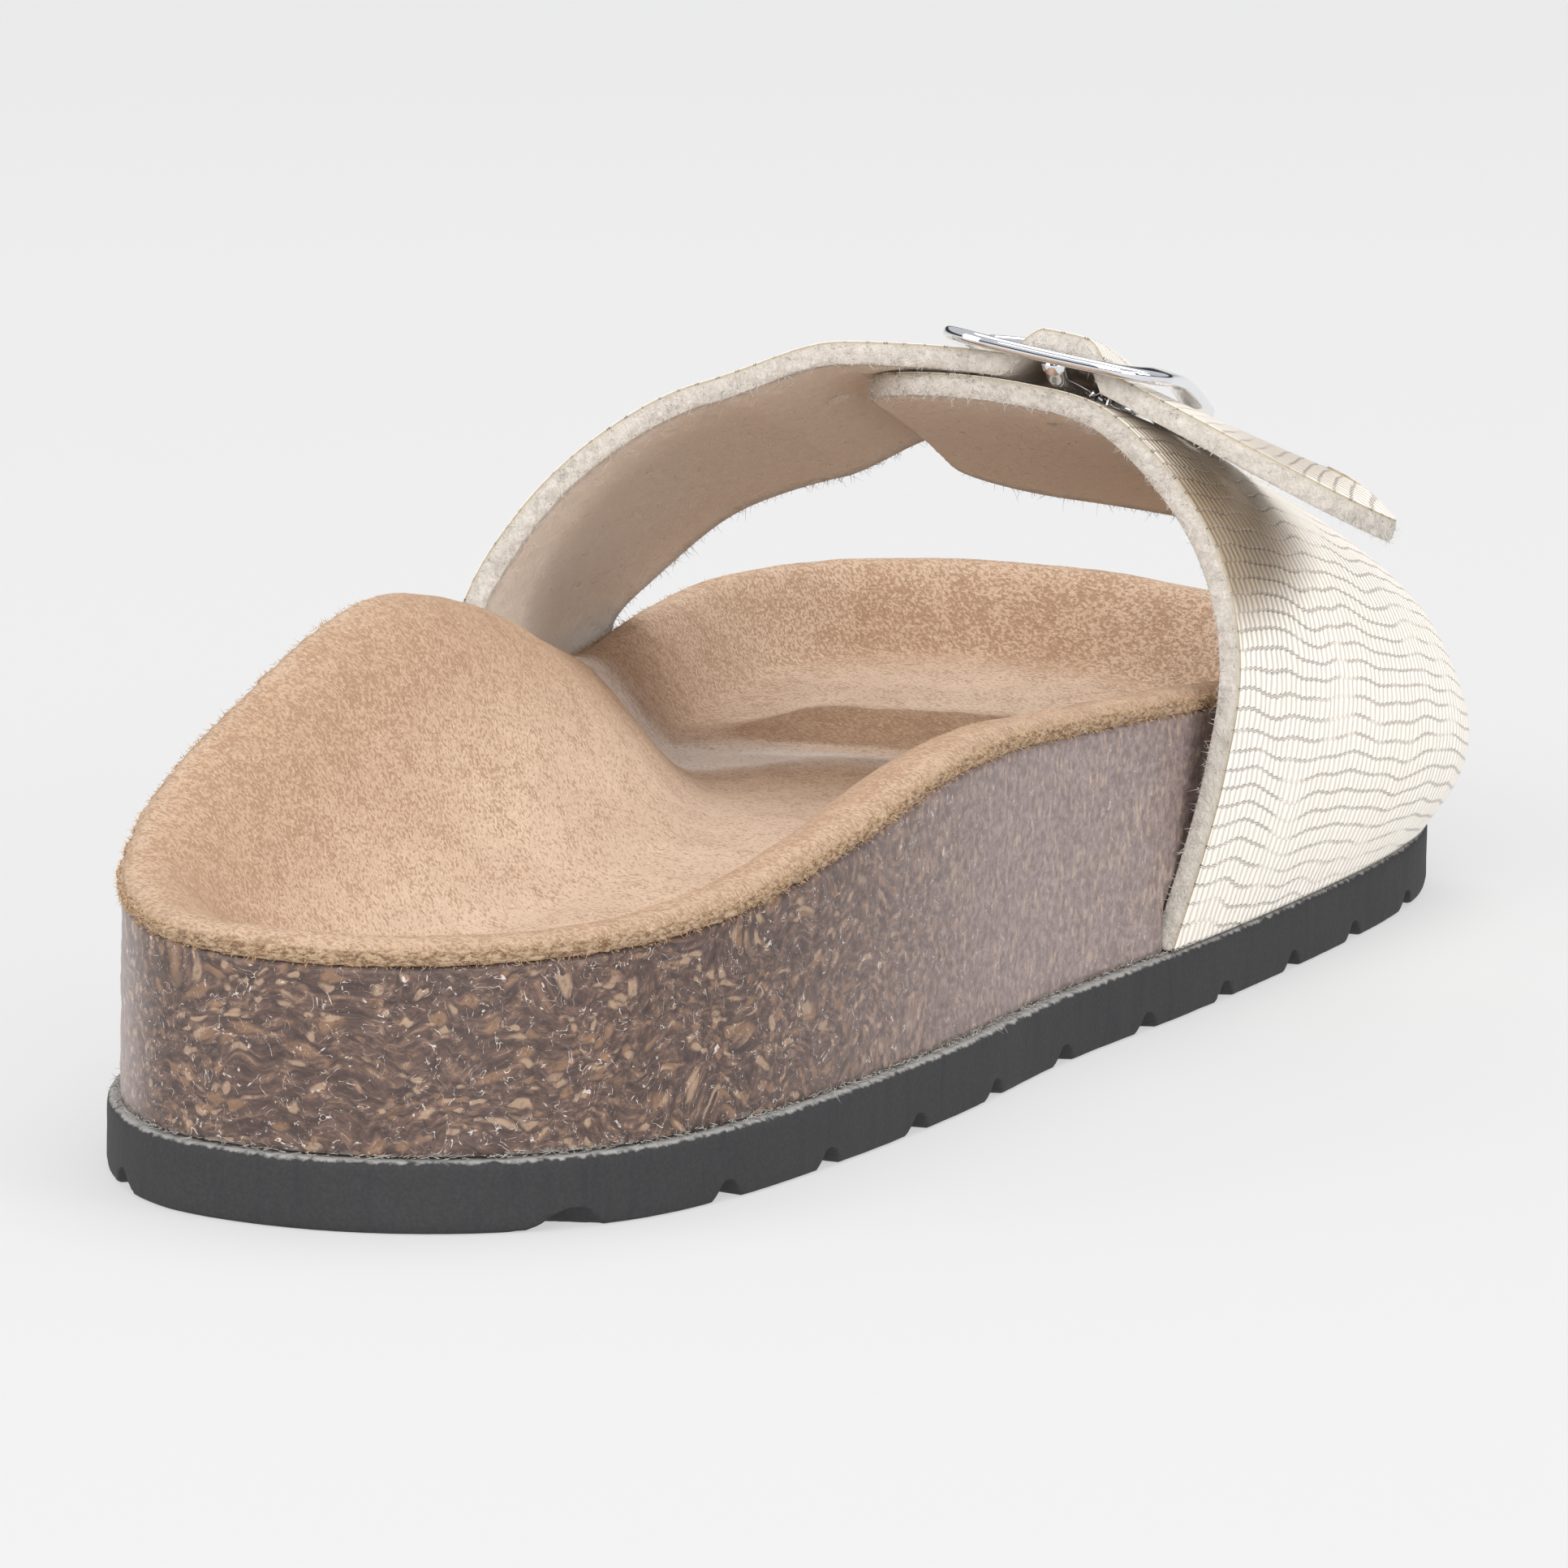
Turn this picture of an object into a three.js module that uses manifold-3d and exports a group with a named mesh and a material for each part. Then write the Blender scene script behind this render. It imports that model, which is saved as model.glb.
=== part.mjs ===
// Right sandal with a cork footbed and one wide strap in two halves, closed by a buckle.
// Millimetres. +Y points to the toe, +X to the outer side of the foot, +Z up.
import * as THREE from 'three';
import Module from 'manifold-3d';

const wasm = await Module();
wasm.setup();

// Driving dimensions
const footLength = 254.0;
const ballWidth = 92.5;
const outsoleHeight = 6.85;
const outsoleLip = 1.2;
const outsoleBevel = 1.0;
const toeSpring = 2.7;
const springStart = 0.70;
const archHeight = 45.0;
const liningThickness = 1.5;
const rimLip = 2.6;
const rimRound = 0.7;
const seam = 0.3;

const padHeight = 2.6;
const padRadius = 17.0;
const toeBarHeight = 3.4;
const toeBarWidth = 6.5;
const toeBarBend = 9.0;

const grooveCount = 13;
const groovePitch = 18.6;
const grooveFirst = 8.0;
const grooveWidth = 3.2;
const grooveDepth = 2.0;
const grooveWave = 2.2;

const strapThickness = 2.4;
const strapHeightRear = 63.6;
const strapHeightFront = 32.6;
const strapCrown = 3.6;
const strapEndRadius = 11.0;
const tipLength = 32.0;
const tipRadius = 9.0;
const tipTaper = 0.42;
const tipFlare = -0.05;
const tipSkew = 0.30;
const tipTwist = 4.0;
const holeRadius = 1.5;
const holePitch = 8.0;
const slotLength = 8.0;
const slotWidth = 5.0;

const buckleLength = 22.2;
const buckleShift = 1.4;
const buckleBar = 3.0;
const buckleThickness = 1.4;
const buckleCorner = 6.0;
const buckleSag = 0.2;
const buckleTilt = 1.4;
const buckleSideGap = 0.9;
const centreBarRadius = 1.2;
const humpSlack = 0.5;
const humpFlat = 2.0;
const humpSlope = 4.0;
const prongRadius = 0.65;
const prongRise = 2.4;
const prongOverhang = 0.4;

// How finely the curved faces are cut into flat ones
const outlineSteps = 96;
const outlineFine = 480;
const strapColumns = 7;

// Plan outline of the cork block, outer side first: [across, along] as shares of
// ballWidth and footLength.
const outlineShares = [
  [-0.018, -0.002], [0.138, 0.014], [0.251, 0.054], [0.315, 0.108], [0.351, 0.165],
  [0.396, 0.281], [0.417, 0.398], [0.461, 0.515], [0.492, 0.631], [0.508, 0.748],
  [0.498, 0.807], [0.444, 0.862], [0.347, 0.909], [0.221, 0.946], [0.079, 0.974],
  [-0.075, 0.994], [-0.235, 0.995], [-0.383, 0.971], [-0.472, 0.923], [-0.492, 0.864],
  [-0.469, 0.748], [-0.396, 0.634], [-0.315, 0.520], [-0.292, 0.403], [-0.319, 0.286],
  [-0.351, 0.169], [-0.336, 0.111], [-0.281, 0.056], [-0.177, 0.012],
];

// Footbed along the foot: share of footLength, then heights as shares of archHeight
// (outer rim, inner rim, floor) and the widths of the two walls as shares of ballWidth.
const footbedRows = [
  [0.00, 0.600, 0.600, 0.390, 0.190, 0.190],
  [0.10, 0.633, 0.656, 0.378, 0.200, 0.205],
  [0.20, 0.711, 0.820, 0.378, 0.230, 0.290],
  [0.28, 0.782, 0.960, 0.405, 0.270, 0.335],
  [0.34, 0.789, 1.000, 0.440, 0.280, 0.345],
  [0.41, 0.767, 0.915, 0.452, 0.260, 0.335],
  [0.47, 0.749, 0.800, 0.440, 0.220, 0.290],
  [0.55, 0.718, 0.689, 0.400, 0.180, 0.210],
  [0.65, 0.650, 0.578, 0.345, 0.150, 0.150],
  [0.75, 0.578, 0.500, 0.310, 0.130, 0.130],
  [0.85, 0.540, 0.511, 0.305, 0.120, 0.120],
  [0.93, 0.540, 0.535, 0.330, 0.110, 0.110],
  [1.00, 0.556, 0.556, 0.370, 0.110, 0.110],
];

// Outer face of the strap across the foot, from the inner side of the sole to the outer
// side: [across, up] at the rear edge and [across, up] at the front edge, as shares of the
// cork's width there and of the strap's height there.
const strapSections = [
  [-0.013, 0.000, -0.012, 0.000],
  [-0.045, 0.250, -0.036, 0.240],
  [-0.050, 0.490, -0.038, 0.460],
  [0.018, 0.655, 0.030, 0.650],
  [0.108, 0.775, 0.137, 0.815],
  [0.240, 0.886, 0.270, 0.905],
  [0.380, 0.930, 0.420, 0.945],
  [0.540, 0.946, 0.560, 0.955],
  [0.700, 0.938, 0.720, 0.946],
  [0.825, 0.905, 0.840, 0.905],
  [0.945, 0.785, 0.940, 0.790],
  [1.030, 0.640, 1.005, 0.640],
  [1.072, 0.477, 1.045, 0.450],
  [1.062, 0.300, 1.062, 0.280],
  [1.040, 0.150, 1.050, 0.140],
  [1.013, 0.000, 1.013, 0.000],
];
const strapRearStation = 0.45;
const strapFrontStation = 0.83;

// Edges of the two strap halves: share of the way across, then rear and front edge as
// shares of footLength. The inner half comes first.
const innerHalfEdges = [
  [0.00, 0.440, 0.836],
  [0.18, 0.464, 0.820],
  [0.30, 0.498, 0.778],
  [0.38, 0.520, 0.755],
  [0.46, 0.536, 0.730],
  [0.54, 0.545, 0.700],
  [0.69, 0.548, 0.693],
];
const outerHalfEdges = [
  [0.44, 0.548, 0.770],
  [0.52, 0.548, 0.785],
  [0.60, 0.545, 0.800],
  [0.68, 0.540, 0.812],
  [0.75, 0.534, 0.822],
  [0.85, 0.518, 0.832],
  [1.00, 0.498, 0.845],
];
const innerHalfSteps = [
  0.0, 0.05, 0.11, 0.17, 0.22, 0.27, 0.32, 0.365, 0.395, 0.42, 0.445, 0.47, 0.51, 0.55, 0.568,
  0.577, 0.585, 0.592, 0.602, 0.612, 0.620, 0.626, 0.631,
];
const outerHalfSteps = [
  0.472, 0.476, 0.483, 0.493, 0.505, 0.525, 0.555, 0.59, 0.63, 0.67, 0.71, 0.745, 0.78, 0.81,
  0.84, 0.87, 0.90, 0.93, 0.965, 1.0,
];
const tipSteps = [0.08, 0.22, 0.38, 0.54, 0.68, 0.80, 0.88, 0.94, 0.98, 1.0];
const overlapStart = 0.385;
const overlapEnd = 0.470;
const buckleAcross = 0.602;

const clamp = THREE.MathUtils.clamp;
const mix = THREE.MathUtils.lerp;
const ease = (value) => THREE.MathUtils.smoothstep(value, 0, 1);

// Smooth reading of one column of a table whose first column is the position.
function readRow(rows, position, column) {
  const last = rows.length - 1;
  let k = 0;
  while (k < last - 1 && rows[k + 1][0] < position) k += 1;
  const span = rows[k + 1][0] - rows[k][0];
  const t = clamp((position - rows[k][0]) / span, 0, 1);
  const here = rows[k][column];
  const next = rows[k + 1][column];
  const before = rows[Math.max(k - 1, 0)];
  const after = rows[Math.min(k + 2, last)];
  const slopeHere = (next - before[column]) / (rows[k + 1][0] - before[0]) * span;
  const slopeNext = (after[column] - here) / (after[0] - rows[k][0]) * span;
  const t2 = t * t;
  const t3 = t2 * t;
  return (2 * t3 - 3 * t2 + 1) * here + (t3 - 2 * t2 + t) * slopeHere
    + (3 * t2 - 2 * t3) * next + (t3 - t2) * slopeNext;
}

// Plan outline, its spine and its two sides
const outlineCurve = new THREE.CatmullRomCurve3(
  outlineShares.map(([across, along]) => new THREE.Vector3(across * ballWidth, along * footLength, 0)),
  true, 'centripetal',
);
outlineCurve.arcLengthDivisions = 2000;
const outline = outlineCurve.getSpacedPoints(outlineSteps).slice(0, outlineSteps);
const outlineDense = outlineCurve.getSpacedPoints(outlineFine);

function sideAt(y, outer) {
  let best = outer ? -Infinity : Infinity;
  for (let i = 0; i < outlineFine; i += 1) {
    const a = outlineDense[i];
    const b = outlineDense[i + 1];
    if ((a.y - y) * (b.y - y) > 0 || a.y === b.y) continue;
    const x = mix(a.x, b.x, (y - a.y) / (b.y - a.y));
    best = outer ? Math.max(best, x) : Math.min(best, x);
  }
  return best;
}

// Shares of footLength between which the spine runs, and shares of the way to the spine at
// which the flat rings lie
const spineEnds = [0.14, 0.80];
const flatShares = [0.45, 0.86];

function spineAt(y) {
  const along = clamp(y, spineEnds[0] * footLength, spineEnds[1] * footLength);
  return new THREE.Vector3((sideAt(along, true) + sideAt(along, false)) / 2, along, 0);
}

function edgeDistance(x, y) {
  let best = Infinity;
  for (let i = 0; i < outlineFine; i += 1) {
    const a = outlineDense[i];
    const b = outlineDense[i + 1];
    const dx = b.x - a.x;
    const dy = b.y - a.y;
    const t = clamp(((x - a.x) * dx + (y - a.y) * dy) / (dx * dx + dy * dy), 0, 1);
    best = Math.min(best, Math.hypot(x - a.x - t * dx, y - a.y - t * dy));
  }
  return best;
}

// Rise of the whole sole towards the toe
function springAt(y) {
  const past = Math.max(0, y / footLength - springStart) / (1 - springStart);
  return toeSpring * past * past;
}

// Places on the footbed, as shares of ballWidth and footLength
const padPlace = [-0.04, 0.615];
const toeBarStation = 0.775;
const footbedReach = 0.4;

// Height of the suede above the floor: walls that fall from the rim to the footbed's floor,
// a pad behind the ball of the foot and a curved bar under the toes.
function footbedHeight(x, y, distance) {
  const along = clamp(y / footLength, 0, 1);
  const spine = spineAt(y);
  const halfWidth = ballWidth * footbedReach;
  const side = ease(0.5 + (x - spine.x) / halfWidth * 0.5);
  const rim = archHeight * mix(readRow(footbedRows, along, 2), readRow(footbedRows, along, 1), side);
  const floor = archHeight * readRow(footbedRows, along, 3);
  const wall = ballWidth * mix(readRow(footbedRows, along, 5), readRow(footbedRows, along, 4), side);
  const fall = ease(clamp((distance - rimLip) / (wall - rimLip), 0, 1));
  const round = rimRound * (1 - clamp(distance / rimLip * 2, 0, 1)) ** 2;
  const padX = (x - spine.x - padPlace[0] * ballWidth) / padRadius;
  const padY = (y - padPlace[1] * footLength) / padRadius;
  const pad = padHeight * Math.exp(-(padX * padX + padY * padY));
  const barX = (x - spine.x) / halfWidth;
  const barBend = toeBarBend * (0.3 - barX * barX);
  const barY = (y - toeBarStation * footLength - barBend) / toeBarWidth;
  const bar = toeBarHeight * Math.exp(-barY * barY) * ease(clamp(2 * (0.95 - Math.abs(barX)), 0, 1));
  return rim + (floor - rim) * fall - round + (pad + bar) * fall;
}

// Rings of the outline pulled in by a distance, and in by a share of what is left
function ringAt(inset, share, height) {
  return outline.map((point) => {
    const spine = spineAt(point.y);
    const reach = point.distanceTo(spine);
    const part = mix(inset / reach, 1, share);
    const place = point.clone().lerp(spine, part);
    const distance = part <= 0 ? 0 : edgeDistance(place.x, place.y);
    place.z = height(place.x, place.y, distance);
    return place;
  });
}

function closedSolid(positions, indices) {
  const mesh = new wasm.Mesh({
    numProp: 3,
    vertProperties: Float32Array.from(positions),
    triVerts: Uint32Array.from(indices),
  });
  mesh.merge();
  return new wasm.Manifold(mesh);
}

// Faces that close a narrow ring, going up its two sides from the heel end to the toe end
function zipRing(ring) {
  const count = ring.length;
  const along = ring.map((point) => point.y);
  const heel = along.indexOf(Math.min(...along));
  const toe = along.indexOf(Math.max(...along));
  const faces = [];
  let right = heel;
  let left = heel;
  while (right !== toe || left !== toe) {
    const nextRight = (right + 1) % count;
    const nextLeft = (left + count - 1) % count;
    const takeRight = left === toe || (right !== toe && along[nextRight] <= along[nextLeft]);
    if (takeRight) faces.push([left, right, nextRight]);
    else faces.push([left, right, nextLeft]);
    if (takeRight) right = nextRight;
    else left = nextLeft;
  }
  return faces.filter(([a, b, c]) => a !== b && b !== c && a !== c);
}

// Solid from rings of the underside, from the middle outwards, and of the upper side, from
// the edge inwards. Both sides split their faces the same way, so that stacked pieces match.
function ringSolid(under, over) {
  const rings = [...under, ...over];
  const count = rings[0].length;
  const positions = rings.flat().flatMap((p) => [p.x, p.y, p.z]);
  const indices = [];
  for (let k = 0; k < rings.length - 1; k += 1) {
    for (let i = 0; i < count; i += 1) {
      const next = (i + 1) % count;
      const a = k * count + i;
      const b = k * count + next;
      if (k < under.length) indices.push(a, b, b + count, a, b + count, a + count);
      else indices.push(a, b, a + count, b, b + count, a + count);
    }
  }
  const offset = (rings.length - 1) * count;
  zipRing(rings[0]).forEach(([a, b, c]) => indices.push(a, c, b));
  zipRing(rings.at(-1)).forEach(([a, b, c]) => indices.push(offset + a, offset + b, offset + c));
  return closedSolid(positions, indices);
}

// Solid between two grids of points, the first one outermost
function sheetSolid(outer, inner) {
  const rows = outer.length;
  const columns = outer[0].length;
  const positions = [...outer.flat(), ...inner.flat()].flatMap((p) => [p.x, p.y, p.z]);
  const indices = [];
  const half = rows * columns;
  const quad = (a, b, c, d) => indices.push(a, b, c, a, c, d);
  for (let i = 0; i < rows - 1; i += 1) {
    for (let j = 0; j < columns - 1; j += 1) {
      const a = i * columns + j;
      quad(a, a + columns, a + columns + 1, a + 1);
      quad(half + a, half + a + 1, half + a + columns + 1, half + a + columns);
    }
    const left = i * columns;
    const right = left + columns - 1;
    quad(left, half + left, half + left + columns, left + columns);
    quad(right, right + columns, half + right + columns, half + right);
  }
  for (let j = 0; j < columns - 1; j += 1) {
    const end = (rows - 1) * columns + j;
    quad(j, j + 1, half + j + 1, half + j);
    quad(end, half + end, half + end + 1, end + 1);
  }
  return closedSolid(positions, indices);
}

// Solid tube of a small section along a path of frames { place, side, up }
function tubeSolid(path, section, closed) {
  const sides = section.length;
  const positions = [];
  const indices = [];
  path.forEach(({ place, side, up }) => {
    section.forEach(([s, u]) => {
      const p = place.clone().addScaledVector(side, s).addScaledVector(up, u);
      positions.push(p.x, p.y, p.z);
    });
  });
  const spans = closed ? path.length : path.length - 1;
  for (let k = 0; k < spans; k += 1) {
    for (let i = 0; i < sides; i += 1) {
      const a = k * sides + i;
      const b = k * sides + (i + 1) % sides;
      const c = ((k + 1) % path.length) * sides + (i + 1) % sides;
      const d = ((k + 1) % path.length) * sides + i;
      indices.push(a, b, c, a, c, d);
    }
  }
  if (!closed) {
    const end = (path.length - 1) * sides;
    for (let i = 1; i < sides - 1; i += 1) {
      indices.push(0, i + 1, i, end, end + i, end + i + 1);
    }
  }
  return closedSolid(positions, indices);
}

function roundSection(radius, sides) {
  return Array.from({ length: sides }, (_, k) => {
    const angle = (k + 0.5) / sides * 2 * Math.PI;
    return [radius * Math.cos(angle), radius * Math.sin(angle)];
  });
}

function barSection(width, thickness) {
  const w = width / 2;
  const h = thickness / 2;
  const c = thickness * 0.3;
  return [
    [w, c - h], [w, h - c], [w - c, h], [c - w, h],
    [-w, h - c], [-w, c - h], [c - w, -h], [w - c, -h],
  ];
}

// Outer face of the strap: share of the way across the foot, and distance along it
function strapPoint(across, y) {
  const inner = sideAt(y, false);
  const outer = sideAt(y, true);
  const along = (y / footLength - strapRearStation) / (strapFrontStation - strapRearStation);
  const height = mix(strapHeightRear, strapHeightFront, along) + strapCrown * 4 * along * (1 - along);
  const base = outsoleHeight + seam + springAt(y);
  const curve = new THREE.CatmullRomCurve3(strapSections.map(([xRear, zRear, xFront, zFront]) => {
    const x = mix(inner, outer, mix(xRear, xFront, along));
    return new THREE.Vector3(x, y, base + height * mix(zRear, zFront, along));
  }), false, 'centripetal');
  return curve.getPointAt(clamp(across, 0, 1));
}

// Frame on the strap's outer face: place, direction across the foot, along it, and outwards
function strapFrame(across, y) {
  const step = 0.004;
  const place = strapPoint(across, y);
  const low = clamp(across - step, 0, 1 - 2 * step);
  const alongCurve = strapPoint(low + 2 * step, y).sub(strapPoint(low, y)).normalize();
  const forward = strapPoint(across, y + 1).sub(strapPoint(across, y - 1)).normalize();
  const out = new THREE.Vector3().crossVectors(alongCurve, forward).normalize();
  return { place, across: alongCurve, forward, out };
}

// Length of the strap from side to side, which turns a share across it into millimetres
const strapArc = 165.0;

// How deep a hole's or a slot's cutter reaches
const cutterDepth = 6 * strapThickness;

// Lift of the inner half's outer face above the single layer: over the outer half, and over
// the buckle's centre bar
function innerHalfLift(across) {
  const over = ease(clamp((across - overlapStart) / (overlapEnd - overlapStart), 0, 1));
  const overlap = (strapThickness + seam) * over;
  const distance = Math.abs(across - buckleAcross) * strapArc;
  const rise = ease(clamp(1 - (distance - humpFlat) / humpSlope, 0, 1));
  const hump = (2 * centreBarRadius + seam + humpSlack) * rise;
  return overlap + hump;
}

function liftedRow(across, rear, front, lift) {
  return Array.from({ length: strapColumns + 1 }, (_, j) => {
    const frame = strapFrame(across, mix(rear, front, j / strapColumns));
    return { place: frame.place.addScaledVector(frame.out, lift), out: frame.out };
  });
}

// Row of the free tip: it leaves the outer half in one straight direction, with a twist that
// lifts its rear edge
function tipRow(share, rear, front) {
  const last = innerHalfSteps.at(-1);
  const leadRear = strapFrame(last, edgeAt(innerHalfEdges, last, 1));
  const leadFront = strapFrame(last, edgeAt(innerHalfEdges, last, 2));
  const flare = leadRear.out.multiplyScalar(tipFlare);
  return liftedRow(last, rear, front, innerHalfLift(last)).map(({ place, out }, j) => {
    const column = j / strapColumns;
    const way = leadRear.across.clone().lerp(leadFront.across, column).add(flare).normalize();
    place.addScaledVector(way, tipLength * share * (1 - tipSkew * column));
    place.addScaledVector(out, -tipTwist * column * share);
    return { place, out };
  });
}

function sheetFromRows(rows, thickness, outwards) {
  const moved = (lift) => rows.map((row) => row.map(({ place, out }) => (
    place.clone().addScaledVector(out, lift)
  )));
  return sheetSolid(moved(outwards), moved(-thickness));
}

// How much of its narrowing a rounded end has reached at its last row
const endFullness = 0.86;

// Narrowing of a rounded end: 1 away from the end, less inside the last radius
function roundedShare(toEnd, radius, halfWidth) {
  const inside = clamp(1 - toEnd / radius, 0, 1);
  return 1 - radius / halfWidth * (1 - Math.sqrt(1 - inside * inside)) * endFullness;
}

const edgeAt = (rows, across, column) => footLength * readRow(rows, across, column);

function innerHalfRows(spread) {
  const rows = innerHalfSteps.map((across) => {
    const rear = edgeAt(innerHalfEdges, across, 1) - spread;
    const front = edgeAt(innerHalfEdges, across, 2) + spread;
    return liftedRow(across, rear, front, innerHalfLift(across));
  });
  const last = innerHalfSteps.at(-1);
  const rear = edgeAt(innerHalfEdges, last, 1);
  const width = edgeAt(innerHalfEdges, last, 2) - rear;
  tipSteps.forEach((share) => {
    const halfWidth = width / 2 * (1 - tipTaper * share);
    const half = halfWidth * roundedShare(tipLength * (1 - share), tipRadius, halfWidth);
    const middle = rear + halfWidth;
    rows.push(tipRow(share, middle - half, middle + half));
  });
  return rows;
}

function outerHalfRows(spread) {
  const end = outerHalfSteps[0];
  return outerHalfSteps.map((across) => {
    const rear = edgeAt(outerHalfEdges, across, 1);
    const front = edgeAt(outerHalfEdges, across, 2);
    const halfWidth = (front - rear) / 2;
    const share = roundedShare((across - end) * strapArc, strapEndRadius, halfWidth);
    const middle = (front + rear) / 2;
    const half = halfWidth * share + spread;
    return liftedRow(across, middle - half, middle + half, 0);
  });
}

// Cutter for the stretch where a half's lower edge runs down to the outsole: the rows go
// on below the cork
function recess(rows, lowest) {
  const foot = rows.at(lowest).map(({ place, out }) => ({
    place: place.clone().setZ(place.z - outsoleHeight / 2),
    out,
  }));
  const all = lowest === 0 ? [foot, ...rows] : [...rows, foot];
  return sheetFromRows(all, strapThickness + seam, 3 * strapThickness);
}

const jointHeight = (x, y) => outsoleHeight + springAt(y);

function makeOutsole() {
  const outset = (inset, height) => ringAt(inset, 0, height);
  const ground = (x, y) => springAt(y);
  const body = ringSolid([
    ringAt(0, flatShares[1], ground),
    ringAt(0, flatShares[0], ground),
    outset(outsoleBevel - outsoleLip, ground),
    outset(-outsoleLip, (x, y) => springAt(y) + outsoleBevel),
    outset(-outsoleLip, (x, y) => jointHeight(x, y) - outsoleBevel / 2),
  ], [
    outset(outsoleBevel / 3 - outsoleLip, jointHeight),
    ringAt(0, flatShares[0], jointHeight),
    ringAt(0, flatShares[1], jointHeight),
  ]);
  return wasm.Manifold.difference([body, ...makeGrooves()]);
}

// Wavy grooves across the underside, one for each gap between two lugs
function makeGrooves() {
  const reach = ballWidth * 0.75;
  const waves = 12;
  return Array.from({ length: grooveCount }, (_, k) => {
    const y = grooveFirst + k * groovePitch;
    const shape = new THREE.Shape();
    for (let i = 0; i <= 2 * waves + 1; i += 1) {
      const back = i > waves;
      const step = back ? 2 * waves + 1 - i : i;
      const x = mix(-reach, reach, step / waves);
      const wave = grooveWave * (step % 2 === 0 ? 1 : -1) / 2;
      const edge = y + wave + (back ? grooveWidth / 2 : -grooveWidth / 2);
      if (i === 0) shape.moveTo(x, edge);
      else shape.lineTo(x, edge);
    }
    const roof = springAt(y) + grooveDepth;
    const geometry = new THREE.ExtrudeGeometry(shape, { depth: roof + grooveDepth, bevelEnabled: false });
    geometry.translate(0, 0, -grooveDepth);
    return solidFrom(geometry);
  });
}

function solidFrom(geometry) {
  const position = geometry.attributes.position;
  const count = geometry.index ? geometry.index.count : position.count;
  const indices = Array.from({ length: count }, (_, i) => (geometry.index ? geometry.index.getX(i) : i));
  return closedSolid(position.array, indices);
}

const footbedInsets = [0, 1.3, rimLip + 0.6, 6.5, 10.5, 15.5];
const footbedShares = [0.62, 0.84];

function footbedRings(drop) {
  const height = (x, y, distance) => footbedHeight(x, y, distance) - drop;
  const near = footbedInsets.map((inset) => ringAt(inset, 0, height));
  const far = footbedShares.map((share) => ringAt(0, share, height));
  return [...near, ...far];
}

function makeCork(cutters) {
  const base = (x, y) => jointHeight(x, y) + seam;
  const body = ringSolid([
    ringAt(0, flatShares[1], base),
    ringAt(0, flatShares[0], base),
    ringAt(0, 0, base),
  ], footbedRings(liningThickness + seam));
  return wasm.Manifold.difference([body, ...cutters]);
}

function makeLining(cutters) {
  const body = ringSolid(footbedRings(liningThickness).reverse(), footbedRings(0));
  return wasm.Manifold.difference([body, ...cutters]);
}

// Buckle: places are given by a distance across from the centre bar, one along the foot, and
// a height above the outer half's face
const innerEdgeAtBuckle = edgeAt(innerHalfEdges, buckleAcross, 1);
const outerEdgeAtBuckle = edgeAt(innerHalfEdges, buckleAcross, 2);
const buckleMiddle = (innerEdgeAtBuckle + outerEdgeAtBuckle) / 2;
const frameHalf = (outerEdgeAtBuckle - innerEdgeAtBuckle) / 2 + buckleSideGap + buckleBar / 2;
const frameReach = (buckleLength - buckleBar) / 2;
const frameLift = strapThickness + 3 * seam + buckleThickness / 2;
const centreLift = seam + centreBarRadius;

function onStrap(distance, y, lift) {
  const frame = strapFrame(buckleAcross + distance / strapArc, y);
  return { ...frame, place: frame.place.clone().addScaledVector(frame.out, lift) };
}

// A place on the frame: it is stiff, so it runs straight from bar to bar, with a slight sag
function onFrame(distance, y) {
  const rearShare = ease(0.5 - (y - buckleMiddle) / frameHalf / 2);
  const left = onStrap(-frameReach - buckleShift, y, frameLift);
  const right = onStrap(frameReach - buckleShift, y, frameLift + buckleTilt * rearShare);
  const share = distance / frameReach;
  const place = left.place.lerp(right.place, (share + 1) / 2);
  const out = left.out.add(right.out).normalize();
  return { place: place.addScaledVector(out, buckleSag * (share * share - 1)), out };
}

function makeFrame() {
  const halfLength = frameReach;
  const corner = buckleCorner - buckleBar / 2;
  const ring = new THREE.Path();
  ring.moveTo(halfLength, 0);
  ring.lineTo(halfLength, frameHalf - corner);
  ring.absarc(halfLength - corner, frameHalf - corner, corner, 0, Math.PI / 2, false);
  ring.absarc(corner - halfLength, frameHalf - corner, corner, Math.PI / 2, Math.PI, false);
  ring.absarc(corner - halfLength, corner - frameHalf, corner, Math.PI, 1.5 * Math.PI, false);
  ring.absarc(halfLength - corner, corner - frameHalf, corner, 1.5 * Math.PI, 2 * Math.PI, false);
  ring.closePath();
  const flat = ring.getSpacedPoints(44).slice(0, 44);
  const path = flat.map((point, k) => {
    const before = flat[(k + 43) % 44];
    const after = flat[(k + 1) % 44];
    const frame = onFrame(point.x, buckleMiddle + point.y);
    const tangent = onFrame(after.x, buckleMiddle + after.y).place
      .sub(onFrame(before.x, buckleMiddle + before.y).place).normalize();
    const side = new THREE.Vector3().crossVectors(frame.out, tangent).normalize();
    return { place: frame.place, side, up: frame.out };
  });
  const frame = tubeSolid(path, barSection(buckleBar, buckleThickness), true);
  const shares = [-1, -0.6, -0.2, 0.2, 0.6, 1];
  const places = shares.map((share) => onStrap(0, buckleMiddle + share * frameHalf, centreLift));
  const bar = tubeSolid(places.map((frame) => ({
    place: frame.place,
    side: frame.out,
    up: frame.across,
  })), roundSection(centreBarRadius, 8), false);
  return wasm.Manifold.union([frame, bar]);
}

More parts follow.
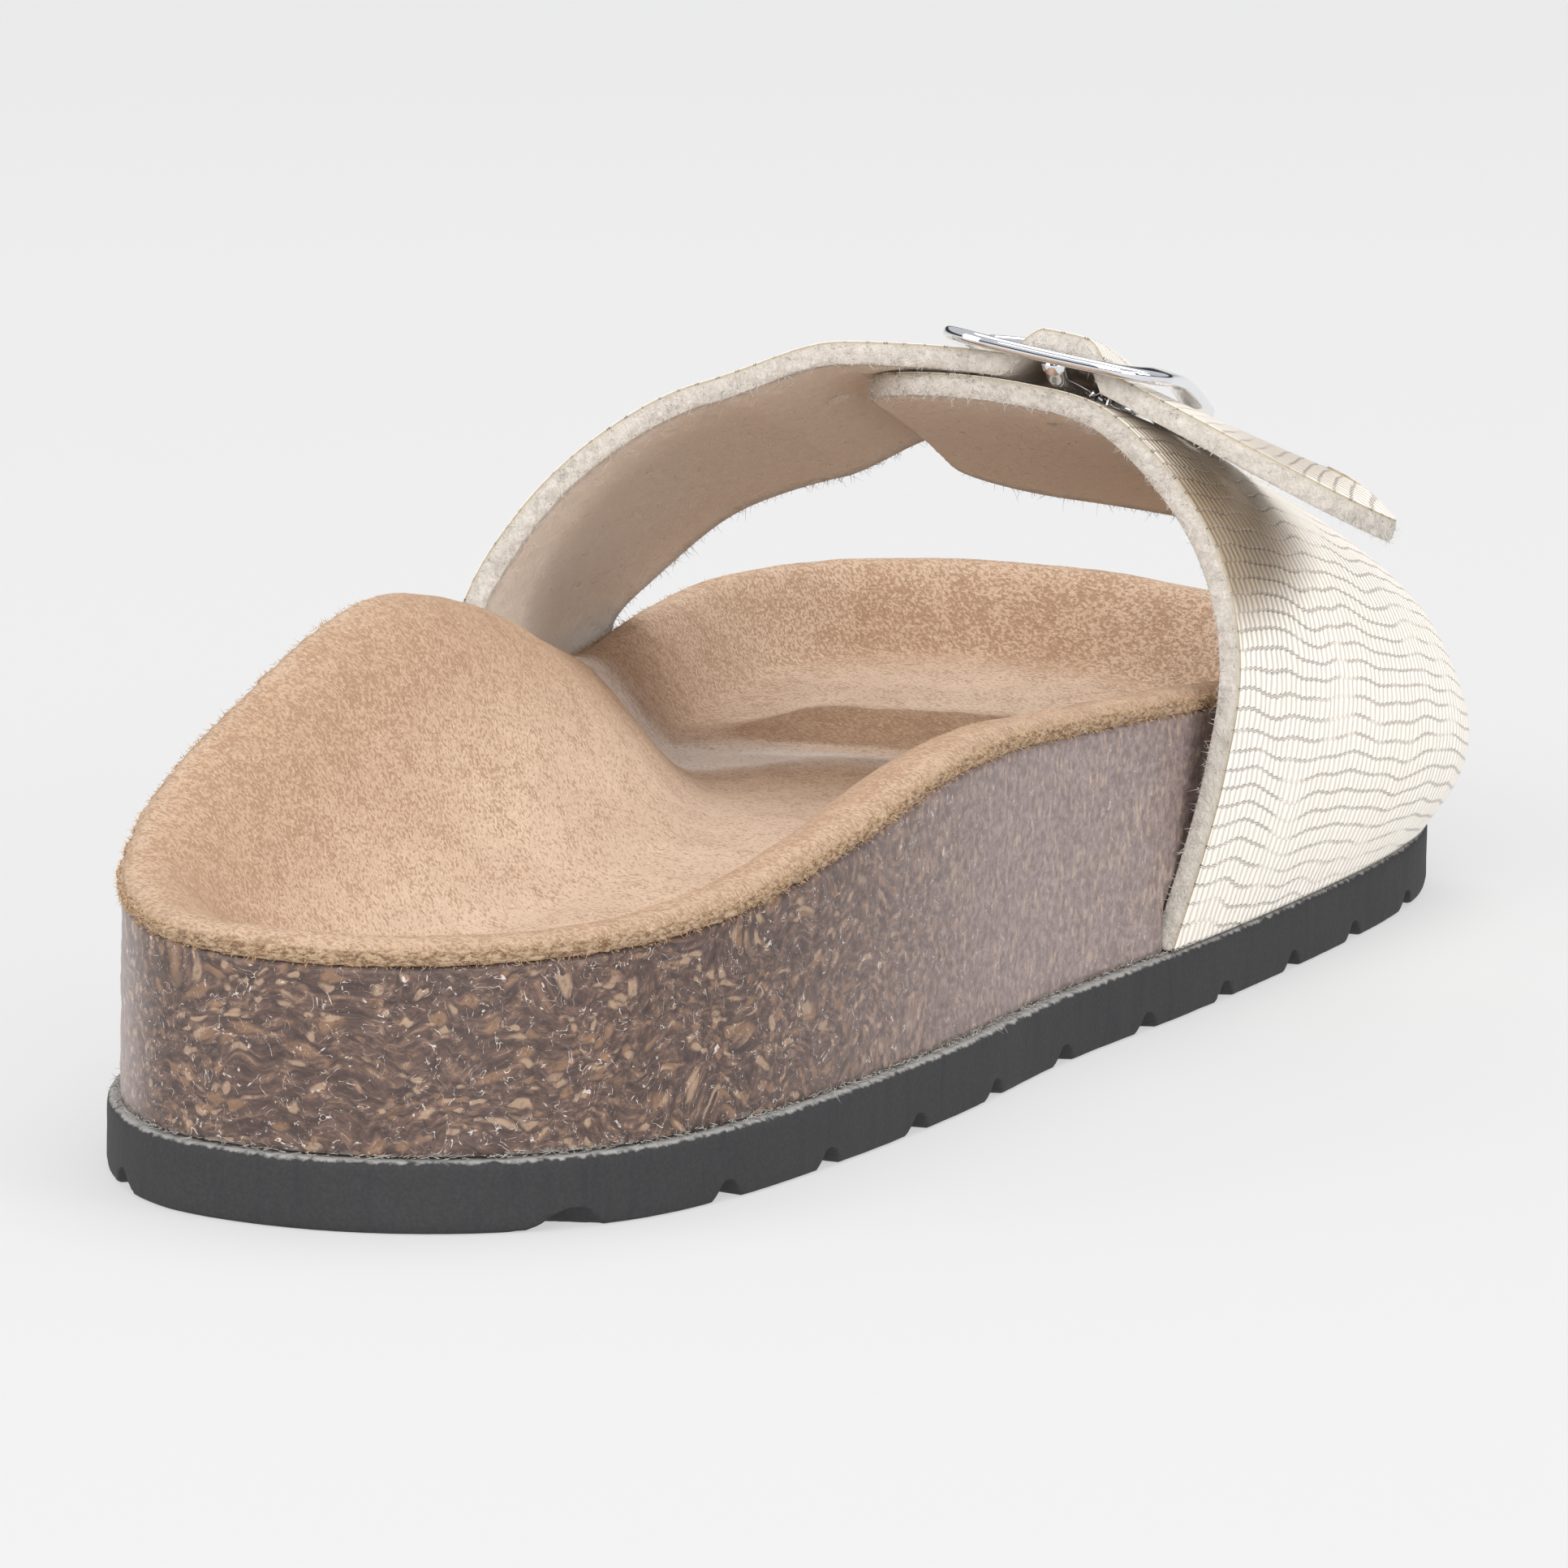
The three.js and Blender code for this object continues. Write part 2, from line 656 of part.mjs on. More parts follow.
// Prong: a wire that hooks under the centre bar, comes up through the strap's hole and lies
// on the bar of the frame
function makeProng() {
  const hook = centreBarRadius + seam + prongRadius;
  const rest = frameLift + buckleThickness / 2 + seam + prongRadius;
  const bend = [
    [hook, centreLift + prongRadius / 2],
    [hook * 0.8, centreLift - hook * 0.62],
    [0, centreLift - hook],
    [-hook * 0.8, centreLift - hook * 0.62],
    [-hook, centreLift + prongRadius / 2],
    [-hook - prongRadius / 2, centreLift + prongRise],
    [-hook - prongRadius, rest - 1.5 * prongRadius],
    [-hook - 2 * prongRadius, rest],
    [-hook - 6 * prongRadius, rest],
    [-frameReach - buckleShift - prongOverhang, rest],
  ];
  const places = bend.map(([distance, lift]) => onStrap(distance, buckleMiddle, lift));
  const path = places.map((frame, k) => {
    const before = places[Math.max(k - 1, 0)].place;
    const after = places[Math.min(k + 1, places.length - 1)].place;
    const tangent = after.clone().sub(before).normalize();
    const side = frame.forward;
    return { place: frame.place, side, up: new THREE.Vector3().crossVectors(tangent, side).normalize() };
  });
  return tubeSolid(path, roundSection(prongRadius, 8), false);
}

// Round cutter square to the strap's face
function holeAt(place, out) {
  const geometry = new THREE.CylinderGeometry(holeRadius, holeRadius, cutterDepth, 12);
  geometry.applyQuaternion(new THREE.Quaternion().setFromUnitVectors(new THREE.Vector3(0, 1, 0), out));
  geometry.translate(place.x, place.y, place.z);
  return solidFrom(geometry);
}

function makeInnerHalf() {
  const body = sheetFromRows(innerHalfRows(0), strapThickness, 0);
  const used = onStrap(-centreBarRadius - seam - prongRadius - 0.3, buckleMiddle, strapThickness + seam);
  const cutters = [holeAt(used.place, used.out)];
  for (let k = 1; k <= 2; k += 1) {
    const towards = onStrap(-buckleLength / 2 - holePitch * k, buckleMiddle, strapThickness);
    cutters.push(holeAt(towards.place, towards.out));
  }
  for (let k = 1; k <= 2; k += 1) {
    const row = tipRow(holePitch * k / tipLength, buckleMiddle, buckleMiddle);
    const { place, out } = row[Math.floor(strapColumns / 2)];
    cutters.push(holeAt(place, out));
  }
  return wasm.Manifold.difference([body, ...cutters]);
}

// The outer half has a slot under the centre bar, where the prong hooks round it
function makeOuterHalf() {
  const body = sheetFromRows(outerHalfRows(0), strapThickness, 0);
  const frame = onStrap(0, buckleMiddle, 0);
  const geometry = new THREE.BoxGeometry(slotLength, slotWidth, cutterDepth);
  const turn = new THREE.Matrix4().makeBasis(frame.across, frame.out.clone().cross(frame.across), frame.out);
  geometry.applyMatrix4(turn);
  geometry.translate(frame.place.x, frame.place.y, frame.place.z);
  return wasm.Manifold.difference([body, solidFrom(geometry)]);
}

const looks = {
  rubber: { color: 0x434345, roughness: 0.85, metalness: 0 },
  cork: { color: 0x5a4334, roughness: 0.8, metalness: 0 },
  suede: { color: 0xc9a77f, roughness: 0.95, metalness: 0 },
  strap: { color: 0xe3dccb, roughness: 0.5, metalness: 0 },
  chrome: { color: 0xd6d8da, roughness: 0.12, metalness: 1 },
};

const recessRows = 6;
const innerRecess = recess(innerHalfRows(seam).slice(0, recessRows), 0);
const outerRecess = recess(outerHalfRows(seam).slice(-recessRows), -1);

const pieces = [
  ['outsole', looks.rubber, makeOutsole()],
  ['cork_footbed', looks.cork, makeCork([innerRecess, outerRecess])],
  ['suede_lining', looks.suede, makeLining([innerRecess, outerRecess])],
  ['strap_inner_half', looks.strap, makeInnerHalf()],
  ['strap_outer_half', looks.strap, makeOuterHalf()],
  ['buckle_frame', looks.chrome, makeFrame()],
  ['buckle_prong', looks.chrome, makeProng()],
];

const group = new THREE.Group();
group.name = 'cork_sandal';
pieces.forEach(([name, look, solid]) => {
  const { vertProperties, triVerts } = solid.getMesh();
  const geometry = new THREE.BufferGeometry();
  geometry.setAttribute('position', new THREE.BufferAttribute(Float32Array.from(vertProperties), 3));
  geometry.setIndex(Array.from(triVerts));
  const mesh = new THREE.Mesh(geometry, new THREE.MeshStandardMaterial(look));
  mesh.name = name;
  group.add(mesh);
});

// The origin is the middle of the box round the sandal, on the ground
const box = new THREE.Box3().setFromObject(group);
const middle = box.getCenter(new THREE.Vector3());
group.children.forEach((mesh) => mesh.geometry.translate(-middle.x, -middle.y, -box.min.z));

export default group;
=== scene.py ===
"""Right sandal with a cork footbed, a suede lining and one strap in two halves.

Lengths are in metres. +Y points to the toe, +X to the outer side of the foot, +Z up.
"""

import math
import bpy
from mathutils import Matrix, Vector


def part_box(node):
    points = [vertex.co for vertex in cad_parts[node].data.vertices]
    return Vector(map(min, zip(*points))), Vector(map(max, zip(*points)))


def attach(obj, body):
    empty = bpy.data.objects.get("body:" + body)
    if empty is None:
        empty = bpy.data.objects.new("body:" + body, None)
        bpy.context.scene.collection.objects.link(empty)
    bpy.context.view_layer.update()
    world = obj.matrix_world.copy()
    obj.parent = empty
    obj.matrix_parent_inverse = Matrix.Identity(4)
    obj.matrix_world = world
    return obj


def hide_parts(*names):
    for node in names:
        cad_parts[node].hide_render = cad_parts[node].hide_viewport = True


bl_info = {
    "name": "Cork footbed sandal",
    "version": (1, 0, 0),
    "blender": (4, 5, 0),
    "location": "View3D > Sidebar > Sandal",
    "description": "Builds a sandal with a cork footbed, a felt-lined strap and a buckle on its frame",
    "category": "Add Mesh",
}

import bpy
import numpy as np
from bpy.props import FloatProperty, FloatVectorProperty, IntProperty, PointerProperty
from mathutils import Matrix, Vector

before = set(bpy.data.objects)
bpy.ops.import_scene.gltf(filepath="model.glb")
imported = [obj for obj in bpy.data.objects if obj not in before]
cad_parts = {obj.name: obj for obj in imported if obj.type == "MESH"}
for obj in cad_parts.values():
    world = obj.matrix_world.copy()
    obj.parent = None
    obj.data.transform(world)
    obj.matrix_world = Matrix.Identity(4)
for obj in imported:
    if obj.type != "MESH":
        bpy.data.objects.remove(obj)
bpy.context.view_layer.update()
CORK_LOW, CORK_HIGH = (np.array(corner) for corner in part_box("cork_footbed"))

# Sole
ARCH_HEIGHT = 0.045
TOE_SPRING = 0.0027
SPRING_START = 0.70
OUTSOLE_LIP = 0.0012
OUTSOLE_BEVEL = 0.001
SEAM = 0.0003
RIM_LIP = 0.0026
RIM_ROUND = 0.0007
PAD_HEIGHT = 0.0026
PAD_RADIUS = 0.017
TOE_BAR_HEIGHT = 0.0034
TOE_BAR_WIDTH = 0.0065
TOE_BAR_BEND = 0.009
GROOVE_COUNT = 13
GROOVE_PITCH = 0.0186
GROOVE_FIRST = 0.008
GROOVE_WIDTH = 0.0032
GROOVE_DEPTH = 0.002
GROOVE_WAVE = 0.0022
SPINE_HEEL, SPINE_TOE = 0.14, 0.80
PAD_PLACE = (-0.04, 0.615)
TOE_BAR_STATION = 0.775
FOOTBED_REACH = 0.4
FLAT_SHARES = (0.45, 0.86)

# Strap
STRAP_HEIGHT_REAR = 0.0636
STRAP_HEIGHT_FRONT = 0.0326
STRAP_CROWN = 0.0036
STRAP_END_RADIUS = 0.011
STRAP_REAR_STATION, STRAP_FRONT_STATION = 0.45, 0.83
STRAP_ARC = 0.165
STRAP_GRID_START, STRAP_GRID_END = 0.42, 0.87
TIP_LENGTH = 0.032
TIP_RADIUS = 0.009
TIP_TAPER, TIP_FLARE, TIP_SKEW = 0.42, -0.05, 0.30
TIP_TWIST = 0.004
END_FULLNESS = 0.86
INNER_HALF_END, OUTER_HALF_END = 0.631, 0.472
OVERLAP_START, OVERLAP_END = 0.385, 0.470
HOLE_RADIUS = 0.0015
HOLE_PITCH = 0.008
SLOT_RADIUS = 0.0025
SLOT_STRETCH = (1.6, 1.0)

# Buckle
BUCKLE_ACROSS = 0.602
BUCKLE_SHIFT = 0.0014
BUCKLE_CORNER = 0.006
BUCKLE_SAG = 0.0002
BUCKLE_TILT = 0.0014
BUCKLE_SIDE_GAP = 0.0009
BUCKLE_THICKNESS = 0.0014
CENTRE_BAR_RADIUS = 0.0012
CENTRE_BAR_CLIMB = 0.0009
HUMP_SLACK = 0.0005
HUMP_FLAT = 0.002
HUMP_SLOPE = 0.004
PRONG_RADIUS = 0.00065
PRONG_RISE = 0.0024
PRONG_OVERHANG = 0.0004

# Plan outline of the cork, outer side first: [across, along] as shares of width and length
OUTLINE_SHARES = np.array([
    [-0.018, -0.002], [0.138, 0.014], [0.251, 0.054], [0.315, 0.108], [0.351, 0.165],
    [0.396, 0.281], [0.417, 0.398], [0.461, 0.515], [0.492, 0.631], [0.508, 0.748],
    [0.498, 0.807], [0.444, 0.862], [0.347, 0.909], [0.221, 0.946], [0.079, 0.974],
    [-0.075, 0.994], [-0.235, 0.995], [-0.383, 0.971], [-0.472, 0.923], [-0.492, 0.864],
    [-0.469, 0.748], [-0.396, 0.634], [-0.315, 0.520], [-0.292, 0.403], [-0.319, 0.286],
    [-0.351, 0.169], [-0.336, 0.111], [-0.281, 0.056], [-0.177, 0.012],
])

# Share of the foot's length, then outer rim, inner rim and floor as shares of the arch's
# height, and the widths of the outer and inner walls as shares of the ball's width
FOOTBED_ROWS = np.array([
    [0.00, 0.600, 0.600, 0.390, 0.190, 0.190],
    [0.10, 0.633, 0.656, 0.378, 0.200, 0.205],
    [0.20, 0.711, 0.820, 0.378, 0.230, 0.290],
    [0.28, 0.782, 0.960, 0.405, 0.270, 0.335],
    [0.34, 0.789, 1.000, 0.440, 0.280, 0.345],
    [0.41, 0.767, 0.915, 0.452, 0.260, 0.335],
    [0.47, 0.749, 0.800, 0.440, 0.220, 0.290],
    [0.55, 0.718, 0.689, 0.400, 0.180, 0.210],
    [0.65, 0.650, 0.578, 0.345, 0.150, 0.150],
    [0.75, 0.578, 0.500, 0.310, 0.130, 0.130],
    [0.85, 0.540, 0.511, 0.305, 0.120, 0.120],
    [0.93, 0.540, 0.535, 0.330, 0.110, 0.110],
    [1.00, 0.556, 0.556, 0.370, 0.110, 0.110],
])

# Outer face of the strap from the inner side of the sole to the outer side: [across, up] at
# its rear edge and [across, up] at its front edge
STRAP_SECTIONS = np.array([
    [-0.013, 0.000, -0.012, 0.000],
    [-0.045, 0.250, -0.036, 0.240],
    [-0.050, 0.490, -0.038, 0.460],
    [0.018, 0.655, 0.030, 0.650],
    [0.108, 0.775, 0.137, 0.815],
    [0.240, 0.886, 0.270, 0.905],
    [0.380, 0.930, 0.420, 0.945],
    [0.540, 0.946, 0.560, 0.955],
    [0.700, 0.938, 0.720, 0.946],
    [0.825, 0.905, 0.840, 0.905],
    [0.945, 0.785, 0.940, 0.790],
    [1.030, 0.640, 1.005, 0.640],
    [1.072, 0.477, 1.045, 0.450],
    [1.062, 0.300, 1.062, 0.280],
    [1.040, 0.150, 1.050, 0.140],
    [1.013, 0.000, 1.013, 0.000],
])

# Share of the way across the foot, then the half's rear and front edge as shares of length
INNER_HALF_EDGES = np.array([
    [0.00, 0.440, 0.836], [0.18, 0.464, 0.820], [0.30, 0.498, 0.778], [0.38, 0.520, 0.755],
    [0.46, 0.536, 0.730], [0.54, 0.545, 0.700], [0.69, 0.548, 0.693],
])
OUTER_HALF_EDGES = np.array([
    [0.44, 0.548, 0.770], [0.52, 0.548, 0.785], [0.60, 0.545, 0.800], [0.68, 0.540, 0.812],
    [0.75, 0.534, 0.822], [0.85, 0.518, 0.832], [1.00, 0.498, 0.845],
])

# Photograph's camera: distance, direction, roll, focal length in pixels, the place it looks at
FRAME_PIXELS = 1932
CAMERA_DISTANCE = 1.2
CAMERA_AZIMUTH = 18.4522
CAMERA_ELEVATION = 10.0
CAMERA_ROLL = 0.9487
CAMERA_FOCAL = 15176.9
CAMERA_TARGET = np.array([0.0169896, 0.0795806, 0.030])
SENSOR = 36.0


def tone(red, green, blue):
    """Linear colour of an sRGB colour from 0 to 255."""
    share = np.array([red, green, blue]) / 255
    linear = np.where(share <= 0.04045, share / 12.92, ((share + 0.055) / 1.055) ** 2.4)
    return tuple(float(v) for v in linear) + (1.0,)


def size_of(name, description, default, low, high):
    """Property for a length in metres."""
    return FloatProperty(name=name, description=description, default=default, min=low, max=high,
                         unit="LENGTH")


def colour_of(name, description, default):
    """Property for a colour."""
    return FloatVectorProperty(name=name, description=description, subtype="COLOR", size=4,
                               default=default, min=0, max=1)


class SandalSizes(bpy.types.PropertyGroup):
    """Sizes of the sandal that a user would change."""
    foot_length: size_of("Footbed length", "Length of the cork footbed", 0.254, 0.15, 0.35)
    ball_width: size_of("Ball width", "Width that the outline's shares are taken of", 0.0925, 0.05, 0.14)
    outsole_height: size_of("Outsole height", "Thickness of the rubber under the cork", 0.00685, 0.003, 0.02)
    lining_thickness: size_of("Lining thickness", "Thickness of the suede", 0.0015, 0.0008, 0.003)
    strap_thickness: size_of("Strap thickness", "Thickness of skin and felt together", 0.0024, 0.001, 0.004)
    buckle_length: size_of("Buckle length", "Length of the frame across the foot", 0.0222, 0.012, 0.04)
    buckle_bar: size_of("Buckle bar", "Width of the frame's bars", 0.003, 0.001, 0.006)
    row_pitch: size_of("Row pitch", "Distance between the wavy lines of the skin", 0.0019, 0.001, 0.01)
    rib_pitch: size_of("Rib pitch", "Distance between the fine ribs of the skin", 0.00135, 0.0004, 0.003)
    hair_length: size_of("Hair length", "Length of the fibres on the cut edges", 0.0007, 0.0002, 0.004)
    hair_count: IntProperty(name="Hair count", description="Fibres on each kind of cut edge",
                            default=9000, min=100, max=12000)


class SandalColours(bpy.types.PropertyGroup):
    """Colours of the sandal that a user would change."""
    suede: colour_of("Suede", "Suede lining", tone(211, 184, 161))
    suede_dark: colour_of("Suede flecks", "Dark nap flecks of the suede", tone(146, 108, 78))
    cork: colour_of("Cork", "Darkest ground of the cork", tone(60, 44, 39))
    rubber: colour_of("Rubber", "Outsole", tone(47, 47, 48))
    skin: colour_of("Strap skin", "Outer face of the strap", tone(254, 246, 234))
    felt: colour_of("Felt", "Inside of the strap", tone(244, 231, 216))
    floor: colour_of("Floor", "Floor under the sandal", (0.24, 0.24, 0.24, 1.0))


def ease(value):
    """Smooth step from 0 to 1: 3 v squared less 2 v cubed, held at its ends."""
    v = np.clip(value, 0.0, 1.0)
    return v * v * (3 - 2 * v)


def mix(a, b, share):
    """Straight blend from a to b."""
    return a + (b - a) * share


def unit(vectors):
    """The vectors at length one."""
    return vectors / np.linalg.norm(vectors, axis=-1, keepdims=True)


def read_row(rows, position, column):
    """Cubic through one column of a table, each slope taken over its two neighbours."""
    last = len(rows) - 1
    stations, values = rows[:, 0], rows[:, column]
    k = np.minimum(np.searchsorted(stations[1:], position, "left"), last - 1)
    before, after = np.maximum(k - 1, 0), np.minimum(k + 2, last)
    span = stations[k + 1] - stations[k]
    t = np.clip((position - stations[k]) / span, 0, 1)
    slope_here = (values[k + 1] - values[before]) / (stations[k + 1] - stations[before]) * span
    slope_next = (values[after] - values[k]) / (stations[after] - stations[k]) * span
    return hermite(values[k], values[k + 1], slope_here, slope_next, t)


def hermite(here, there, slope_here, slope_there, t):
    """Cubic from here to there with the given slopes at its two ends."""
    return (here * (2 * t ** 3 - 3 * t ** 2 + 1) + slope_here * (t ** 3 - 2 * t ** 2 + t)
            + there * (3 * t ** 2 - 2 * t ** 3) + slope_there * (t ** 3 - t ** 2))


def smooth_curve(points, samples, closed=False):
    """Curve through points (second axis from the end): cubics whose end slopes come from the
    neighbours, weighted by the fourth root of the squared distances between them."""
    if closed:
        before, here = np.roll(points, 1, -2), points
        after, beyond = np.roll(points, -1, -2), np.roll(points, -2, -2)
    else:
        first = 2 * points[..., :1, :] - points[..., 1:2, :]
        last = 2 * points[..., -1:, :] - points[..., -2:-1, :]
        longer = np.concatenate([first, points, last], -2)
        spans = points.shape[-2] - 1
        before, here, after, beyond = (longer[..., k:k + spans, :] for k in range(4))
    gap0, gap1, gap2 = (np.sum((b - a) ** 2, -1, keepdims=True) ** 0.25
                        for a, b in ((before, here), (here, after), (after, beyond)))
    slope_here = ((here - before) / gap0 - (after - before) / (gap0 + gap1) + (after - here) / gap1) * gap1
    slope_after = ((after - here) / gap1 - (beyond - here) / (gap1 + gap2) + (beyond - after) / gap2) * gap1
    t = np.linspace(0, 1, samples, endpoint=False)[:, None]
    curve = hermite(*(a[..., None, :] for a in (here, after, slope_here, slope_after)), t)
    curve = curve.reshape(curve.shape[:-3] + (-1, curve.shape[-1]))
    return curve if closed else np.concatenate([curve, points[..., -1:, :]], -2)


def read_lines(queries, stations, values):
    """Row by row straight reading of values at queries; every row's stations rise."""
    low = stations.min(axis=1, keepdims=True)
    reach = (stations.max(axis=1, keepdims=True) - low) * 1.001 + 1e-9
    lift = np.arange(len(stations))[:, None] * 2.0
    flat = ((stations - low) / reach + lift).ravel()
    asked = np.clip((queries - low) / reach, 0, 1) + lift
    return np.interp(asked.ravel(), flat, values.ravel()).reshape(queries.shape)


def even_places(curve, count):
    """Places at equal distances round a closed polyline."""
    line = np.concatenate([curve, curve[:1]])
    steps = np.linalg.norm(np.diff(line, axis=0), axis=1)
    length = np.concatenate([[0], np.cumsum(steps)])
    wanted = np.linspace(0, length[-1], count, endpoint=False)
    return np.stack([np.interp(wanted, length, line[:, k]) for k in range(line.shape[1])], -1)


def cloud(points, size, seed):
    """Smooth random field from -1 to 1: random values on a cubic lattice of the given size,
    blended with smooth steps between its corners."""
    table = np.random.default_rng(seed).uniform(-1, 1, 4096)
    cell = points / size
    base = np.floor(cell).astype(np.int64)
    share = ease(cell - base)
    total = np.zeros(points.shape[:-1])
    for corner in np.ndindex(2, 2, 2):
        place = base + corner
        key = (place[..., 0] * 73856093 ^ place[..., 1] * 19349663 ^ place[..., 2] * 83492791) & 4095
        total += table[key] * np.prod(np.where(corner, share, 1 - share), -1)
    return total


class Last:
    """The sole's plan and heights and the strap's surface, worked out once from the sizes."""

    def __init__(self, sizes):
        self.sizes = sizes
        self.length, self.width = sizes.foot_length, sizes.ball_width
        curve = smooth_curve(OUTLINE_SHARES * [self.width, self.length], 80, closed=True)
        middle = (curve.min(0) + curve.max(0)) / 2
        self.shift = np.append((CORK_LOW + CORK_HIGH)[:2] / 2 - middle, 0)
        self.curve = curve
        self.segments = even_places(curve, 480)
        heel, toe = np.argmin(curve[:, 1]), np.argmax(curve[:, 1])
        turned = np.roll(curve, -heel, 0)
        split = (toe - heel) % len(curve)
        self.outer_side = turned[:split + 1]
        self.inner_side = np.concatenate([turned[split:], turned[:1]])[::-1]
        self.strap = self.strap_table()

    def side_at(self, y, outer):
        """Across place of one side of the outline at a place along the foot."""
        side = self.outer_side if outer else self.inner_side
        return np.interp(y, np.maximum.accumulate(side[:, 1]), side[:, 0])

    def spine_at(self, y):
        """Middle line of the sole, held still past its heel and toe ends."""
        along = np.clip(y, SPINE_HEEL * self.length, SPINE_TOE * self.length)
        return np.stack([(self.side_at(along, True) + self.side_at(along, False)) / 2, along], -1)

    def spring_at(self, y):
        """Rise of the sole towards the toe: a square of the share past the ball."""
        past = np.maximum(0, y / self.length - SPRING_START) / (1 - SPRING_START)
        return TOE_SPRING * past * past

    def edge_distance(self, plan):
        """Shortest distance from places of the plan to the outline's straight pieces."""
        start = self.segments
        way = np.roll(start, -1, 0) - start
        from_start = plan[:, None, :] - start[None]
        share = np.clip(np.sum(from_start * way, -1) / np.sum(way * way, -1), 0, 1)
        return np.sqrt(np.min(np.sum((from_start - share[..., None] * way) ** 2, -1), 1))

    def footbed_height(self, plan, distance):
        """Height of the suede: a rim, a wall that falls in a smooth step to the floor, a bell
        behind the ball and a bell-shaped bar bent round the toes."""
        x, y = plan[..., 0], plan[..., 1]
        along = np.clip(y / self.length, 0, 1)
        spine = self.spine_at(y)[..., 0]
        half_width = FOOTBED_REACH * self.width
        side = ease(0.5 + (x - spine) / (2 * half_width))
        rim = ARCH_HEIGHT * mix(read_row(FOOTBED_ROWS, along, 2), read_row(FOOTBED_ROWS, along, 1), side)
        floor = ARCH_HEIGHT * read_row(FOOTBED_ROWS, along, 3)
        wall = self.width * mix(read_row(FOOTBED_ROWS, along, 5), read_row(FOOTBED_ROWS, along, 4), side)
        fall = ease((distance - RIM_LIP) / (wall - RIM_LIP))
        rounding = RIM_ROUND * (1 - np.clip(distance / RIM_LIP * 2, 0, 1)) ** 2
        pad_x = (x - spine - PAD_PLACE[0] * self.width) / PAD_RADIUS
        pad_y = (y - PAD_PLACE[1] * self.length) / PAD_RADIUS
        pad = PAD_HEIGHT * np.exp(-(pad_x ** 2 + pad_y ** 2))
        bar_x = (x - spine) / half_width
        bar_bend = TOE_BAR_BEND * (0.3 - bar_x ** 2)
        bar_y = (y - TOE_BAR_STATION * self.length - bar_bend) / TOE_BAR_WIDTH
        bar = TOE_BAR_HEIGHT * np.exp(-bar_y ** 2) * ease(1.9 - 2 * np.abs(bar_x))
        return rim + (floor - rim) * fall - rounding + (pad + bar) * fall

    def strap_table(self):
        """Outer face of the strap on a grid: rows are shares across, columns places along."""
        rows, columns = 481, 181
        y = np.linspace(STRAP_GRID_START, STRAP_GRID_END, columns) * self.length
        inner, outer = self.side_at(y, False), self.side_at(y, True)
        along = (y / self.length - STRAP_REAR_STATION) / (STRAP_FRONT_STATION - STRAP_REAR_STATION)
        height = mix(STRAP_HEIGHT_REAR, STRAP_HEIGHT_FRONT, along) + STRAP_CROWN * 4 * along * (1 - along)
        base = self.sizes.outsole_height + SEAM + self.spring_at(y)
        share_x = mix(STRAP_SECTIONS[:, 0], STRAP_SECTIONS[:, 2], along[:, None])
        share_z = mix(STRAP_SECTIONS[:, 1], STRAP_SECTIONS[:, 3], along[:, None])
        points = np.stack([mix(inner[:, None], outer[:, None], share_x),
                           base[:, None] + height[:, None] * share_z], -1)
        curves = smooth_curve(points, 40)
        steps = np.linalg.norm(np.diff(curves, axis=1), axis=2)
        arcs = np.concatenate([np.zeros((columns, 1)), np.cumsum(steps, 1)], 1)
        self.arc = arcs[:, -1].mean()
        wanted = np.linspace(0, 1, rows)[None] * arcs[:, -1:]
        x, z = (read_lines(wanted, arcs, curves[..., k]) for k in (0, 1))
        return np.stack([x, np.repeat(y[:, None], rows, 1), z], -1).transpose(1, 0, 2)

    def strap_point(self, across, y):
        """Place on the strap's outer face, read from the grid with a cubic both ways."""
        rows, columns = self.strap.shape[:2]
        r = np.clip(across, 0, 1) * (rows - 1)
        share = (y / self.length - STRAP_GRID_START) / (STRAP_GRID_END - STRAP_GRID_START)
        c = np.clip(share, 0, 1) * (columns - 1)
        r0, c0 = np.clip(r.astype(int), 1, rows - 3), np.clip(c.astype(int), 1, columns - 3)

        def weights(t):
            """Shares of the four rows round a place in a cubic through them."""
            return (-0.5 * t + t ** 2 - 0.5 * t ** 3, 1 - 2.5 * t ** 2 + 1.5 * t ** 3,
                    0.5 * t + 2 * t ** 2 - 1.5 * t ** 3, -0.5 * t ** 2 + 0.5 * t ** 3)

        down, side = weights(r - r0), weights(c - c0)
        return sum((down[i] * side[j])[..., None] * self.strap[r0 + i - 1, c0 + j - 1]
                   for i in range(4) for j in range(4))

    def strap_frame(self, across, y):
        """Place on the strap with the directions across the foot, along it and outwards."""
        step = 0.004
        low = np.clip(across - step, 0, 1 - 2 * step)
        way = unit(self.strap_point(low + 2 * step, y) - self.strap_point(low, y))
        forward = unit(self.strap_point(across, y + 0.001) - self.strap_point(across, y - 0.001))
        return self.strap_point(across, y), way, forward, unit(np.cross(way, forward))

    def inner_lift(self, across):
        """Lift of the inner half: over the outer half, and over the buckle's centre bar."""
        overlap = (self.sizes.strap_thickness + SEAM) * ease(
            (across - OVERLAP_START) / (OVERLAP_END - OVERLAP_START))
        distance = np.abs(across - BUCKLE_ACROSS) * STRAP_ARC
        hump = 2 * CENTRE_BAR_RADIUS + SEAM + HUMP_SLACK
        return overlap + hump * ease(1 - (distance - HUMP_FLAT) / HUMP_SLOPE)

    def edges(self, table, across):
        """Rear and front edge of a strap half."""
        return tuple(self.length * read_row(table, across, k) for k in (1, 2))


